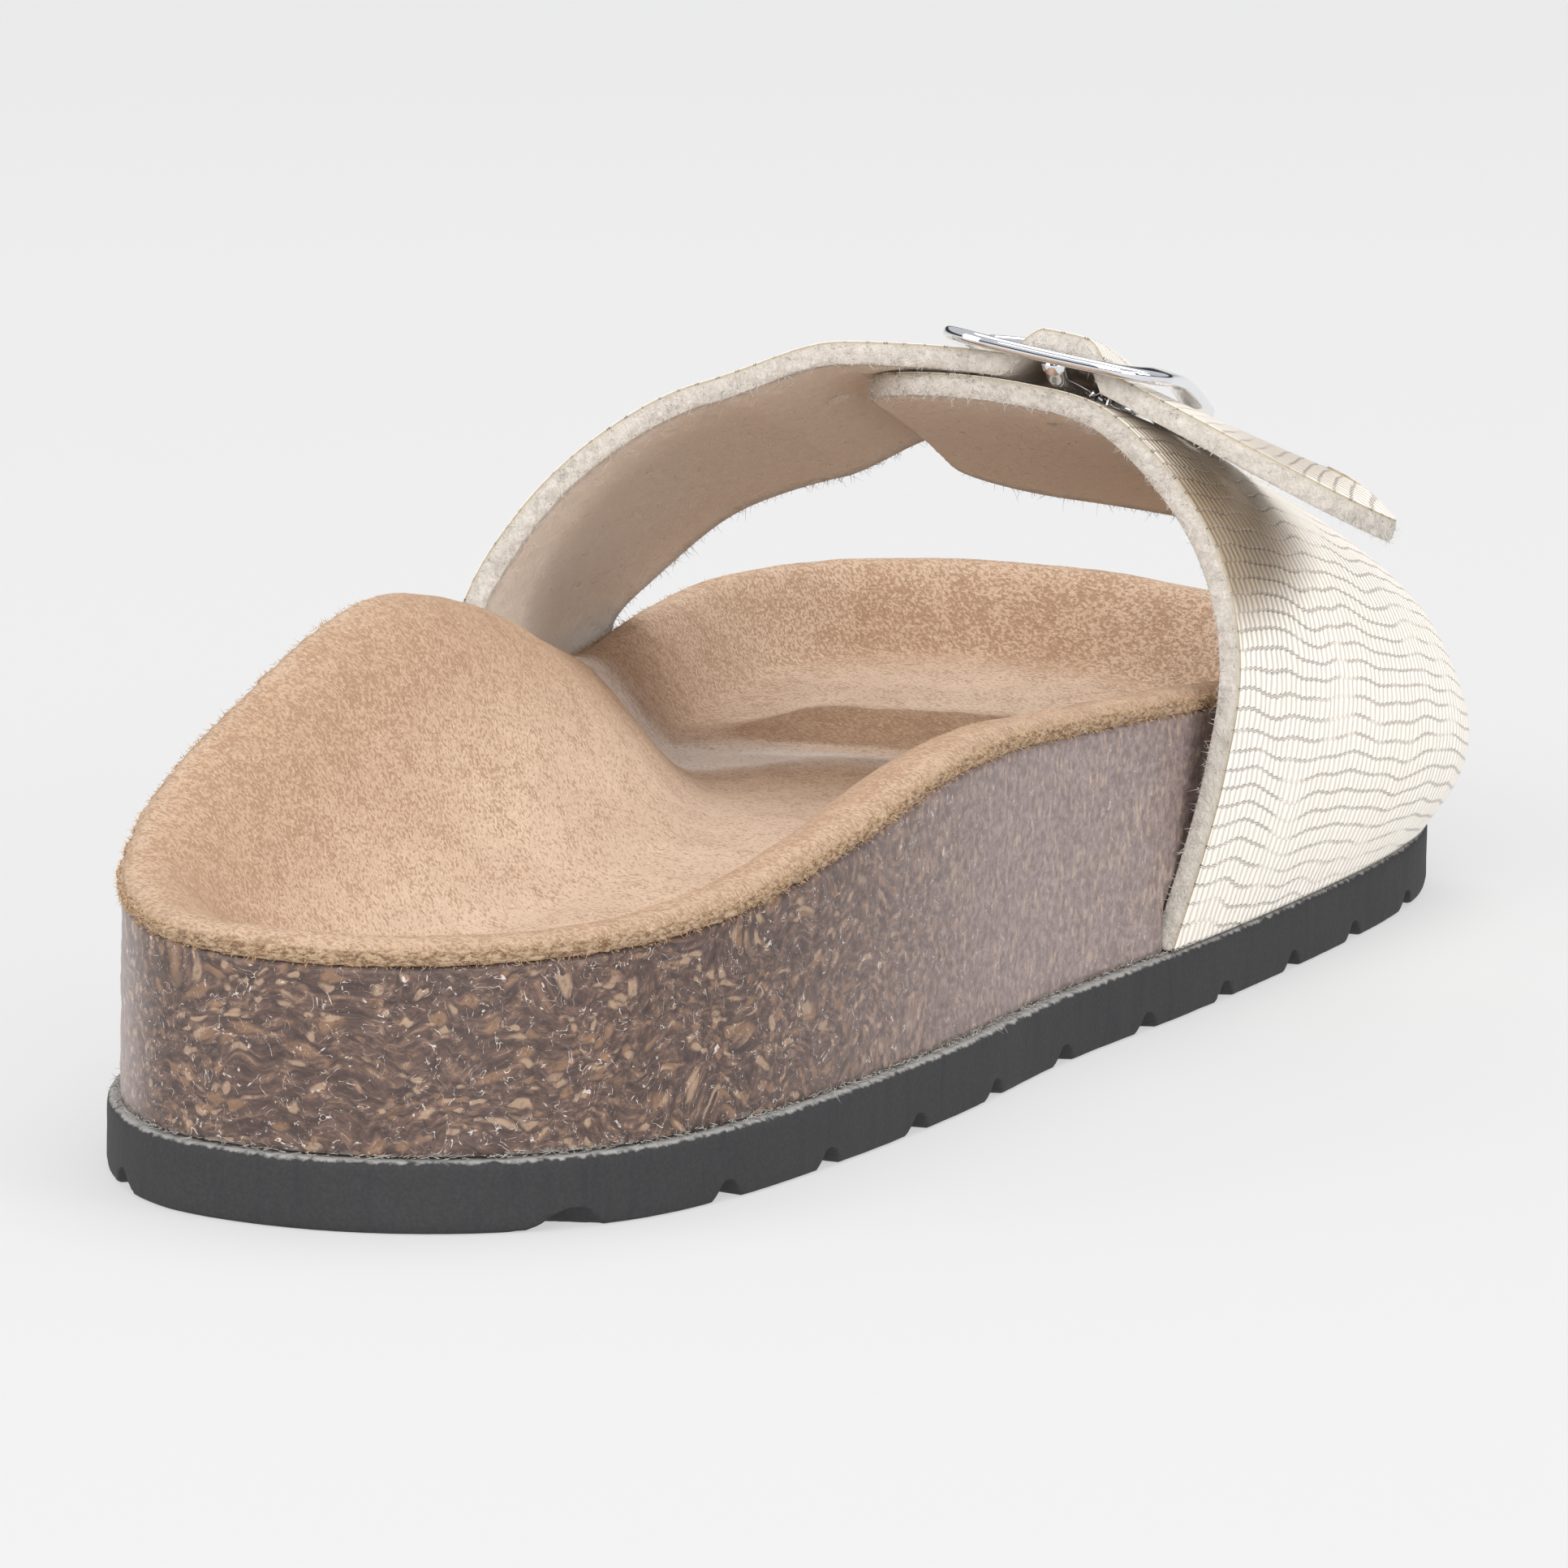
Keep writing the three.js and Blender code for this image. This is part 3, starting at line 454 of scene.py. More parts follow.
class Shape:
    """Vertices and faces of one mesh, with a UV map in millimetres, named values on its
    vertices and a material number for each face."""

    def __init__(self):
        self.places, self.faces, self.looks, self.uv, self.values = [], [], [], [], {}
        self.count = 0

    def add(self, places, uv=None, **values):
        """Adds an array of places and returns their numbers in the same arrangement."""
        flat = places.reshape(-1, 3)
        self.places.append(flat)
        self.uv.append(np.zeros((len(flat), 2)) if uv is None else np.broadcast_to(
            uv, places.shape[:-1] + (2,)).reshape(-1, 2))
        for name, value in values.items():
            whole = self.values.setdefault(name, [])
            whole.append((self.count, np.broadcast_to(value, places.shape[:-1]).ravel()))
        numbers = np.arange(self.count, self.count + len(flat)).reshape(places.shape[:-1])
        self.count += len(flat)
        return numbers

    def face(self, numbers, look=0):
        """Adds faces given as rows of vertex numbers."""
        if len(numbers):
            self.faces.append(numbers.reshape(-1, numbers.shape[-1]))
            self.looks.append(np.full(len(self.faces[-1]), look))

    def band(self, numbers, look=0, closed=True):
        """Four-sided faces between the rows of a grid of vertices, closed along its rows."""
        nexts = np.roll(numbers, -1, 1) if closed else numbers[:, 1:]
        here = numbers if closed else numbers[:, :-1]
        self.face(np.stack([here[:-1], nexts[:-1], nexts[1:], here[1:]], -1), look)

    def build(self, name, *materials):
        """Makes the object: faces that point outwards, seen from the enclosed volume's sign."""
        places = np.concatenate(self.places)
        corners = [f.tolist() for f in self.faces]
        solid = sum(self.volume(places, f) for f in self.faces)
        faces = [face for group in corners for face in group]
        if solid < 0:
            faces = [face[::-1] for face in faces]
        mesh = bpy.data.meshes.new(name)
        mesh.from_pydata(places, [], faces)
        for material in materials:
            mesh.materials.append(material)
        mesh.polygons.foreach_set("material_index", np.concatenate(self.looks).astype(np.int32))
        mesh.polygons.foreach_set("use_smooth", np.full(len(faces), True))
        layer = mesh.uv_layers.new(name="UVMap")
        loops = np.zeros(len(mesh.loops), np.int32)
        mesh.loops.foreach_get("vertex_index", loops)
        layer.data.foreach_set("uv", np.concatenate(self.uv)[loops].astype(np.float32).ravel())
        for key, parts in self.values.items():
            whole = np.zeros(len(places), np.float32)
            for start, part in parts:
                whole[start:start + len(part)] = part
            mesh.attributes.new(key, "FLOAT", "POINT").data.foreach_set("value", whole)
        mesh.update()
        thing = bpy.data.objects.new(name, mesh)
        bpy.context.scene.collection.objects.link(thing)
        return thing

    @staticmethod
    def volume(places, faces):
        """Signed volume under fans of the faces."""
        first = places[faces[:, 0]]
        return sum(np.einsum("ij,ij->", first, np.cross(places[faces[:, k]], places[faces[:, k + 1]]))
                   for k in range(1, faces.shape[1] - 1))


def zip_faces(ring, y):
    """Triangles that close a narrow ring: its two sides are merged by their place along, and
    each next vertex closes a triangle with the last one of either side."""
    count = len(ring)
    heel, toe = int(np.argmin(y)), int(np.argmax(y))
    ahead, behind = (toe - heel) % count, (heel - toe) % count
    right = (heel + np.arange(ahead + 1)) % count
    left = (heel - np.arange(behind)) % count
    tiny = 1e-9 * np.arange(count)
    right_y = np.maximum.accumulate(y[right[1:]]) + tiny[:ahead]
    left_y = np.maximum.accumulate(y[left[1:]]) + tiny[:behind - 1]
    is_right = np.concatenate([np.ones(ahead, bool), np.zeros(behind - 1, bool)])
    added = np.concatenate([right[1:], left[1:]])
    order = np.argsort(np.concatenate([right_y, left_y]), kind="stable")
    order = np.concatenate([order[order != ahead - 1], [ahead - 1]])
    is_right, added = is_right[order], added[order]
    last_right = right[np.cumsum(is_right) - is_right]
    last_left = left[np.cumsum(~is_right) - ~is_right]
    faces = np.stack([last_left, last_right, added], -1)
    keep = (faces[:, 0] != faces[:, 1]) & (faces[:, 1] != faces[:, 2]) & (faces[:, 0] != faces[:, 2])
    return ring[faces[keep]]


# Sole's rings: the distance inwards that their steps are first taken of, and the share of the
# way to the spine where the last one stops
RING_DEPTH, RING_END = 0.04, 0.985


class Rings:
    """Rings of the sole's plan: the outline pulled in towards the spine."""

    def __init__(self, last, count):
        self.last = last
        self.outline = even_places(last.curve, count)
        self.spine = last.spine_at(self.outline[:, 1])
        self.reach = np.linalg.norm(self.outline - self.spine, axis=1)
        steps = np.linalg.norm(np.roll(self.outline, -1, 0) - self.outline, axis=1)
        self.around = np.concatenate([[0], np.cumsum(steps)[:-1]]) * 1000
        ahead = np.roll(self.outline, -1, 0) - np.roll(self.outline, 1, 0)
        self.outwards = unit(np.stack([ahead[:, 1], -ahead[:, 0]], -1))

    def at(self, inset, share=0.0):
        """Plan of one ring: in by a distance, then by a share of what is left."""
        part = mix(inset / self.reach, 1.0, share)[:, None]
        return mix(self.outline, self.spine, part)

    def many(self, count, finest):
        """Plans of rings from the edge to the spine, close together at the edge. Their steps
        are distances there, and turn into shares of the reach further in."""
        steps = finest + (RING_END - finest) * np.linspace(0, 1, count) ** 1.45
        parts = [mix(np.minimum(RING_DEPTH * s / self.reach, 0.9), s, ease(s)) for s in steps]
        return np.stack([mix(self.outline, self.spine, p[:, None]) for p in parts])

    def raised(self, plan, height):
        """Places of plan rings at a height that is a number or an array like them."""
        z = np.broadcast_to(height, plan.shape[:-1])[..., None]
        return np.concatenate([plan, z], -1)


def ring_body(name, node, slot, material, rings, stack, height, **values):
    """Closed body from a stack of rings, with triangles across its narrow first and last
    ring. Its UV map holds the place round the sole and the given height."""
    uv = np.stack(np.broadcast_arrays(rings.around[None], height), -1)
    shape = Shape()
    numbers = shape.add(stack, uv, **values)
    shape.band(numbers)
    shape.face(zip_faces(numbers[-1], stack[-1, :, 1]))
    shape.face(zip_faces(numbers[0], stack[0, :, 1])[:, ::-1])
    return finish(shape.build(name, material), node)


def heights(last, plans):
    """Suede height and distance from the edge on each ring of a stack."""
    distance = np.stack([last.edge_distance(plan) for plan in plans])
    return last.footbed_height(plans, distance), distance


def make_lining(context):
    """Suede lining. Top: the footbed's height plus a low random nap. Edge: a half-round cut
    edge that stands a little proud. Underside: the same height less the thickness."""
    last, sizes = Last(context.scene.sandal_sizes), context.scene.sandal_sizes
    rings = Rings(last, 840)
    top = rings.many(80, 0.006)
    z, distance = heights(last, top)
    places = rings.raised(top, z)
    nap = (0.00013 * cloud(places, 0.0032, 1) + 0.00006 * cloud(places, 0.0011, 2)
           + 0.00022 * cloud(places, 0.021, 3))
    places[..., 2] += nap * ease(distance / 0.002)
    rim_plan = rings.at(0.0)
    rim = last.footbed_height(rim_plan, np.zeros(len(rim_plan)))
    turn = np.linspace(-0.5, 0.5, 9)[:, None] * math.pi
    bulge = 0.00042 * np.cos(turn) - 0.0001
    edge_plan = rim_plan[None] + rings.outwards[None] * bulge[..., None]
    edge_z = rim - sizes.lining_thickness * (0.5 - 0.5 * np.sin(turn)) + 0.00006
    edge = rings.raised(edge_plan, edge_z)
    grain = 0.00022 * cloud(edge, 0.0011, 4) + 0.00016 * cloud(edge, 0.0005, 5)
    edge[..., :2] += rings.outwards[None] * grain[..., None]
    edge[..., 2] += 0.00012 * cloud(edge, 0.0009, 6)
    under = rings.many(13, 0.02)[::-1]
    under_z = heights(last, under)[0] - sizes.lining_thickness
    stack = np.concatenate([rings.raised(under, under_z), edge, places]) + last.shift
    rim_value = np.concatenate([np.zeros(under.shape[:2]), -np.cos(turn) * np.ones(len(rim_plan)),
                                distance * 1000])
    ahead = np.array([0.0, 0.0005])
    slope = (last.footbed_height(top + ahead, distance) - last.footbed_height(top - ahead, distance)) / 0.001
    slope *= ease((top[..., 1] / last.length - 0.54) / 0.06)
    rise = np.concatenate([np.zeros(under.shape[:2]), np.zeros(edge.shape[:2]), slope])
    return ring_body("suede_lining_nap", "suede_lining", "suede", suede_look(context), rings, stack,
                     rim_value, rim=rim_value, rise=rise)


def strap_recess(last, table, plan, z, inner_side):
    """How far the cork's wall is cut back behind a strap half: to the seam behind the strap's
    inner face, between the half's two edges."""
    across = np.linspace(0, 0.3, 60) if inner_side else np.linspace(1, 0.7, 60)
    y = plan[:, 1]
    face = last.strap_point(np.broadcast_to(across, (len(y), 60)), np.repeat(y[:, None], 60, 1))
    reach = last.sizes.strap_thickness + SEAM
    x = read_lines(z.T, np.maximum.accumulate(face[..., 2], 1), face[..., 0]).T
    depth = plan[None, :, 0] - x if inner_side else x - plan[None, :, 0]
    depth = np.clip(reach - np.abs(depth) * np.sign(depth), 0, reach)
    rear, front = last.edges(table, 0.0 if inner_side else 1.0)
    inside = ease((y - rear + SEAM * 2) / 0.0006) * ease((front + SEAM * 2 - y) / 0.0006)
    side = plan[:, 0] < last.spine_at(y)[:, 0]
    return depth * inside * (side if inner_side else ~side)


def make_cork(context):
    """Cork body. Wall: the outline carried up from the outsole to under the suede, with chips
    as a low random relief, and cut back behind the straps."""
    last, sizes = Last(context.scene.sandal_sizes), context.scene.sandal_sizes
    rings = Rings(last, 840)
    plan = rings.at(0.0)
    low = sizes.outsole_height + SEAM + last.spring_at(plan[:, 1])
    high = last.footbed_height(plan, np.zeros(len(plan))) - sizes.lining_thickness - SEAM
    share = np.linspace(0, 1, 44)[:, None]
    z = mix(low, high, share)
    wall = rings.raised(np.repeat(plan[None], 44, 0), z)
    relief = 0.00007 * cloud(wall, 0.0016, 11) + 0.00005 * cloud(wall, 0.0007, 12)
    cut = (strap_recess(last, INNER_HALF_EDGES, plan, z, True)
           + strap_recess(last, OUTER_HALF_EDGES, plan, z, False))
    wall[..., :2] += rings.outwards[None] * (relief - cut - 0.00005)[..., None]
    over = rings.many(12, 0.03)
    over_z = heights(last, over)[0] - sizes.lining_thickness - SEAM
    base = np.stack([rings.at(0, FLAT_SHARES[1]), rings.at(0, FLAT_SHARES[0]), rings.at(0.003)])
    base_z = sizes.outsole_height + SEAM + last.spring_at(base[..., 1])
    stack = np.concatenate([rings.raised(base, base_z), wall, rings.raised(over, over_z)]) + last.shift
    joint = (stack[..., 2] - last.spring_at(stack[..., 1] - last.shift[1]) - sizes.outsole_height) * 1000
    return ring_body("cork_body", "cork_footbed", "cork", cork_look(context), rings, stack, joint,
                     joint=joint)


def tread(last, plan):
    """Share of the groove's depth at places of the sole: 1 inside a wavy band across it."""
    wave = GROOVE_WAVE / 2 * np.cos(math.pi * (plan[..., 0] / (last.width * 0.125)))
    along = plan[..., 1] - GROOVE_FIRST - wave
    k = np.clip(np.round(along / GROOVE_PITCH), 0, GROOVE_COUNT - 1)
    away = np.abs(along - k * GROOVE_PITCH)
    return ease((GROOVE_WIDTH / 2 + 0.0012 - away) / 0.0024)


def make_outsole(context):
    """Rubber outsole. Underside: flat with wavy grooves across it that run out through the
    side. Side: a bevel, an upright wall and a small bevel under the cork."""
    last, sizes = Last(context.scene.sandal_sizes), context.scene.sandal_sizes
    rings = Rings(last, 1320)
    joint = sizes.outsole_height
    lip, bevel = OUTSOLE_LIP, OUTSOLE_BEVEL
    under = rings.many(46, 0.012)[::-1]
    side = [(lip - bevel * 0.55, 0.0), (lip - bevel * 0.2, 0.0002), (lip - 0.0001, 0.0005),
            (lip, 0.001), (lip, 0.0018), (lip, 0.0028), (lip, 0.004), (lip, 0.0052),
            (lip, joint - 0.0008), (lip - 0.00005, joint - 0.0004), (lip - 0.0002, joint - 0.00015),
            (lip - 0.00045, joint), (0.0, joint)]
    side_plan = np.stack([rings.outline + rings.outwards * out for out, _ in side])
    side_z = np.array([z for _, z in side])[:, None] + last.spring_at(side_plan[..., 1])
    under_z = last.spring_at(under[..., 1])
    plan = np.concatenate([under, side_plan])
    z = np.concatenate([under_z, side_z])
    roof = last.spring_at(plan[..., 1]) + GROOVE_DEPTH * tread(last, plan)
    low = np.arange(len(z))[:, None] < len(under) + 8
    z = np.where(low, np.maximum(z, roof + np.arange(len(z))[:, None] * 1e-6), z)
    places = rings.raised(plan, z)
    wear = 0.00006 * cloud(places, 0.004, 21) + 0.00003 * cloud(places, 0.001, 22)
    out = np.zeros_like(z)
    out[len(under):len(under) + 9] = wear[len(under):len(under) + 9]
    places[..., :2] += rings.outwards[None] * out[..., None]
    top = np.stack([rings.at(0, FLAT_SHARES[0]), rings.at(0, FLAT_SHARES[1])])
    stack = np.concatenate([places, rings.raised(top, joint + last.spring_at(top[..., 1]))]) + last.shift
    value = (stack[..., 2] - last.spring_at(stack[..., 1] - last.shift[1]) - joint) * 1000
    return ring_body("outsole_rubber", "outsole", "outsole_foam", rubber_look(context), rings, stack,
                     value, joint=value)


def rounded_share(to_end, radius, half):
    """Narrowing of a rounded end: 1 away from it, less inside the last radius."""
    inside = np.clip(1 - to_end / radius, 0, 1)
    return 1 - radius / half * (1 - np.sqrt(1 - inside ** 2)) * END_FULLNESS


def sheet_columns(count):
    """Shares across a strap's width, with one narrow column at each edge."""
    return np.concatenate([[0, 0.004], np.linspace(0.012, 0.988, count), [0.996, 1]])


INNER_ROWS = 250
TIP_SHARES = np.sin(np.linspace(0, 1, 71)[1:] * math.pi / 2) ** 0.9


def inner_half_grid(last):
    """Outer face of the inner half: rows follow the strap's surface, lifted, and the free tip
    leaves it in a straight line with a twist that lifts its rear edge."""
    across = np.linspace(0, INNER_HALF_END, INNER_ROWS)
    columns = sheet_columns(66)
    rear, front = last.edges(INNER_HALF_EDGES, across)
    y = rear[:, None] + (front - rear)[:, None] * columns
    place, _, _, out = last.strap_frame(np.repeat(across[:, None], len(columns), 1), y)
    rows = place + out * last.inner_lift(across)[:, None, None]
    share = TIP_SHARES
    width = front[-1] - rear[-1]
    half_width = width / 2 * (1 - TIP_TAPER * share)
    half = half_width * rounded_share(TIP_LENGTH * (1 - share), TIP_RADIUS, half_width)
    tip_y = (rear[-1] + half_width)[:, None] + half[:, None] * (2 * columns - 1)
    end = np.full_like(tip_y, INNER_HALF_END)
    base, _, _, tip_out = last.strap_frame(end, tip_y)
    corners = last.strap_frame(np.full(2, INNER_HALF_END), np.array([rear[-1], front[-1]]))
    leads, lead_out = corners[1], corners[3]
    way = unit(mix(leads[0], leads[1], columns[:, None]) + lead_out[0] * TIP_FLARE)
    reach = TIP_LENGTH * share[:, None] * (1 - TIP_SKEW * columns)
    twist = -TIP_TWIST * columns * share[:, None]
    tip = base + tip_out * (last.inner_lift(INNER_HALF_END) + twist)[..., None] + way * reach[..., None]
    arc = np.concatenate([across * last.arc, INNER_HALF_END * last.arc + TIP_LENGTH * share])
    return (np.concatenate([rows, tip]), np.concatenate([out, tip_out]),
            np.concatenate([y, tip_y]), arc, columns)


def outer_half_grid(last):
    """Outer face of the outer half, from its rounded end under the buckle to the outsole."""
    across = OUTER_HALF_END + (1 - OUTER_HALF_END) * np.linspace(0, 1, 240) ** 1.15
    columns = sheet_columns(74)
    rear, front = last.edges(OUTER_HALF_EDGES, across)
    half_width = (front - rear) / 2
    half = half_width * rounded_share((across - OUTER_HALF_END) * STRAP_ARC, STRAP_END_RADIUS, half_width)
    y = ((front + rear) / 2)[:, None] + half[:, None] * (2 * columns - 1)
    place, _, _, out = last.strap_frame(np.repeat(across[:, None], len(columns), 1), y)
    return place, out, y, across * last.arc, columns


def punch(gone, outer, inner):
    """Walls round an opening in a sheet: each edge between a removed and a kept face joins
    the outer and the inner side. Returns the wall's faces."""
    padded = np.pad(gone, 1)
    walls = []
    for (di, dj), (a, b) in {(-1, 0): ((0, 0), (0, 1)), (1, 0): ((1, 1), (1, 0)),
                             (0, -1): ((1, 0), (0, 0)), (0, 1): ((0, 1), (1, 1))}.items():
        beside = padded[1 + di:, 1 + dj:][:gone.shape[0], :gone.shape[1]]
        rows, columns = np.nonzero(gone & ~beside)
        first, second = (rows + a[0], columns + a[1]), (rows + b[0], columns + b[1])
        walls.append(np.stack([outer[first], outer[second], inner[second], inner[first]], -1))
    return np.concatenate(walls)


def opened(places, centre, radius, out, stretch, way):
    """Faces of a sheet that an opening takes away, and the places with the opening's rim
    moved onto its outline."""
    side = np.cross(out, way)
    reach = places - centre
    along, beside = reach @ way / stretch[0], reach @ side / stretch[1]
    away = np.hypot(along, beside)
    level = np.abs(reach @ out) < 0.006
    middles = (away[:-1, :-1] + away[1:, :-1] + away[:-1, 1:] + away[1:, 1:]) / 4
    gone = (middles < radius) & level[:-1, :-1]
    touched = np.zeros(places.shape[:2], int)
    for i, j in np.ndindex(2, 2):
        touched[i:i + gone.shape[0], j:j + gone.shape[1]] += gone
    rim = (touched > 0) & (touched < 4)
    factor = np.where(rim, radius / np.maximum(away, 1e-9), 1.0)
    flat = (reach @ out)[..., None] * out
    return gone, centre + flat + (reach - flat) * factor[..., None]


def strap_half(name, node, grid, thickness, openings, materials):
    """Closed sheet: the outer face, the inner face at the strap's thickness behind it, and
    cut edges that swell a little between them."""
    outer, out, y, arc, columns = grid
    rows, wide = outer.shape[:2]
    width = np.linalg.norm(outer[:, -1] - outer[:, 0], axis=1)
    from_side = np.minimum(columns, 1 - columns)[None] * width[:, None] * 1000
    inner = outer - out * thickness
    gone = np.zeros((rows - 1, wide - 1), bool)
    for centre, normal, way, radius, stretch in openings:
        taken, outer = opened(outer, centre, radius, normal, stretch, way)
        _, inner = opened(inner, centre - normal * thickness, radius, normal, stretch, way)
        gone |= taken
    felt = 0.00012 * cloud(inner, 0.0014, 31) + 0.00008 * cloud(inner, 0.0006, 32)
    inner = inner + out * (felt * ease(from_side / 1.0))[..., None]
    depth = np.array([0.03, 0.10, 0.17, 0.30, 0.45, 0.60, 0.75, 0.88, 0.97])
    swell = 0.00026 * np.sin(math.pi * np.clip((depth - 0.1) / 0.9, 0, 1)) ** 0.6
    shape = Shape()
    uv = np.stack(np.broadcast_arrays(y * 1000, arc[:, None] * 1000), -1)
    face_out = shape.add(outer, uv, depth=0.0, side=from_side)
    face_in = shape.add(inner, uv, depth=1.0, side=from_side)

    def cut(side_outer, side_inner, outwards, side_uv):
        """Vertices of a cut edge, from the outer face to the inner one."""
        places = side_outer[None] + (side_inner - side_outer)[None] * depth[:, None, None]
        fuzz = 0.00016 * cloud(places, 0.0012, 33) + 0.0001 * cloud(places, 0.0005, 34)
        push = swell[:, None] + fuzz * ease((depth[:, None] - 0.12) / 0.2)
        places = places + outwards[None] * push[..., None]
        return shape.add(places, side_uv[None], depth=depth[:, None], side=-1.0)

    ahead = unit(outer[:, -1] - outer[:, -3])
    rear_cut = cut(outer[:, 0], inner[:, 0], unit(outer[:, 0] - outer[:, 2]), uv[:, 0])
    front_cut = cut(outer[:, -1], inner[:, -1], ahead, uv[:, -1])
    for row, numbers_out, numbers_in in ((0, face_out[0], face_in[0]), (rows - 1, face_out[-1], face_in[-1])):
        beside = 1 if row == 0 else rows - 2
        off = unit(outer[row] - outer[beside])
        middle = cut(outer[row, 1:-1], inner[row, 1:-1], off[1:-1], uv[row, 1:-1])
        ends = np.concatenate([rear_cut[:, row:row + 1], middle, front_cut[:, row:row + 1]], 1)
        grid_numbers = np.concatenate([numbers_out[None], ends, numbers_in[None]])
        ordered = grid_numbers if row == 0 else grid_numbers[:, ::-1]
        shape.band(ordered[:3], 0, closed=False)
        shape.band(ordered[2:], 1, closed=False)
    for numbers, first, last_one in ((rear_cut, face_out[:, 0], face_in[:, 0]),
                                     (front_cut[:, ::-1], face_out[::-1, -1], face_in[::-1, -1])):
        grid_numbers = np.concatenate([first[None], numbers, last_one[None]])[:, ::-1]
        shape.band(grid_numbers[:3], 0, closed=False)
        shape.band(grid_numbers[2:], 1, closed=False)
    for numbers, look, turned in ((face_out, 0, False), (face_in, 1, True)):
        quads = np.stack([numbers[:-1, :-1], numbers[1:, :-1], numbers[1:, 1:], numbers[:-1, 1:]], -1)[~gone]
        shape.face(quads[:, ::-1] if turned else quads, look)
    shape.face(punch(gone, face_out, face_in)[:, ::-1], 1)
    return finish(shape.build(name, *materials), node)


class Buckle:
    """Places of the buckle on the strap, measured across from its centre bar."""

    def __init__(self, last):
        self.last, sizes = last, last.sizes
        rear, front = last.edges(INNER_HALF_EDGES, BUCKLE_ACROSS)
        self.middle = (rear + front) / 2
        self.half = (front - rear) / 2 + BUCKLE_SIDE_GAP + sizes.buckle_bar / 2
        self.reach = (sizes.buckle_length - sizes.buckle_bar) / 2
        self.lift = sizes.strap_thickness + 3 * SEAM + BUCKLE_THICKNESS / 2
        self.centre_lift = SEAM + CENTRE_BAR_RADIUS

    def on_strap(self, distance, y, lift):
        """Place at a height above the outer half, with the strap's directions there."""
        distance, y, lift = np.broadcast_arrays(np.asarray(distance, float), y, lift)
        place, way, forward, out = self.last.strap_frame(BUCKLE_ACROSS + distance / STRAP_ARC, y)
        return place + out * lift[..., None], way, forward, out

    def on_frame(self, distance, y):
        """Place on the stiff frame: straight from bar to bar with a slight sag."""
        rear = ease(0.5 - (y - self.middle) / self.half / 2)
        left, _, _, out_left = self.on_strap(-self.reach - BUCKLE_SHIFT, y, self.lift)
        right, _, _, out_right = self.on_strap(self.reach - BUCKLE_SHIFT, y, self.lift + BUCKLE_TILT * rear)
        share = (distance / self.reach)[..., None]
        out = unit(out_left + out_right)
        return mix(left, right, (share + 1) / 2) + out * BUCKLE_SAG * (share ** 2 - 1), out


def tube(shape, places, side, up, section, closed):
    """Carries a section, given as shares of two directions, along a path of places."""
    around = places[:, None] + side[:, None] * section[None, :, :1] + up[:, None] * section[None, :, 1:]
    numbers = shape.add(around)
    if closed:
        shape.band(np.concatenate([numbers, numbers[:1]]))
        return
    shape.band(numbers)
    ends = shape.add(np.stack([places[0], places[-1]]))
    nexts = np.roll(numbers, -1, 1)
    shape.face(np.stack([np.full(len(section), ends[0]), nexts[0], numbers[0]], -1))
    shape.face(np.stack([np.full(len(section), ends[1]), numbers[-1], nexts[-1]], -1))


def bar_section(width, thickness, count=24):
    """Flattened bar: a superellipse, wider than it is thick, with its top a little domed."""
    turn = np.arange(count) / count * 2 * math.pi
    cos, sin = np.cos(turn), np.sin(turn)
    across = width / 2 * np.sign(cos) * np.abs(cos) ** 0.5
    up = thickness / 2 * np.sign(sin) * np.abs(sin) ** 0.62
    return np.stack([across, up], -1)


def round_section(radius, count=16):
    """Circle."""
    turn = np.arange(count) / count * 2 * math.pi
    return radius * np.stack([np.cos(turn), np.sin(turn)], -1)


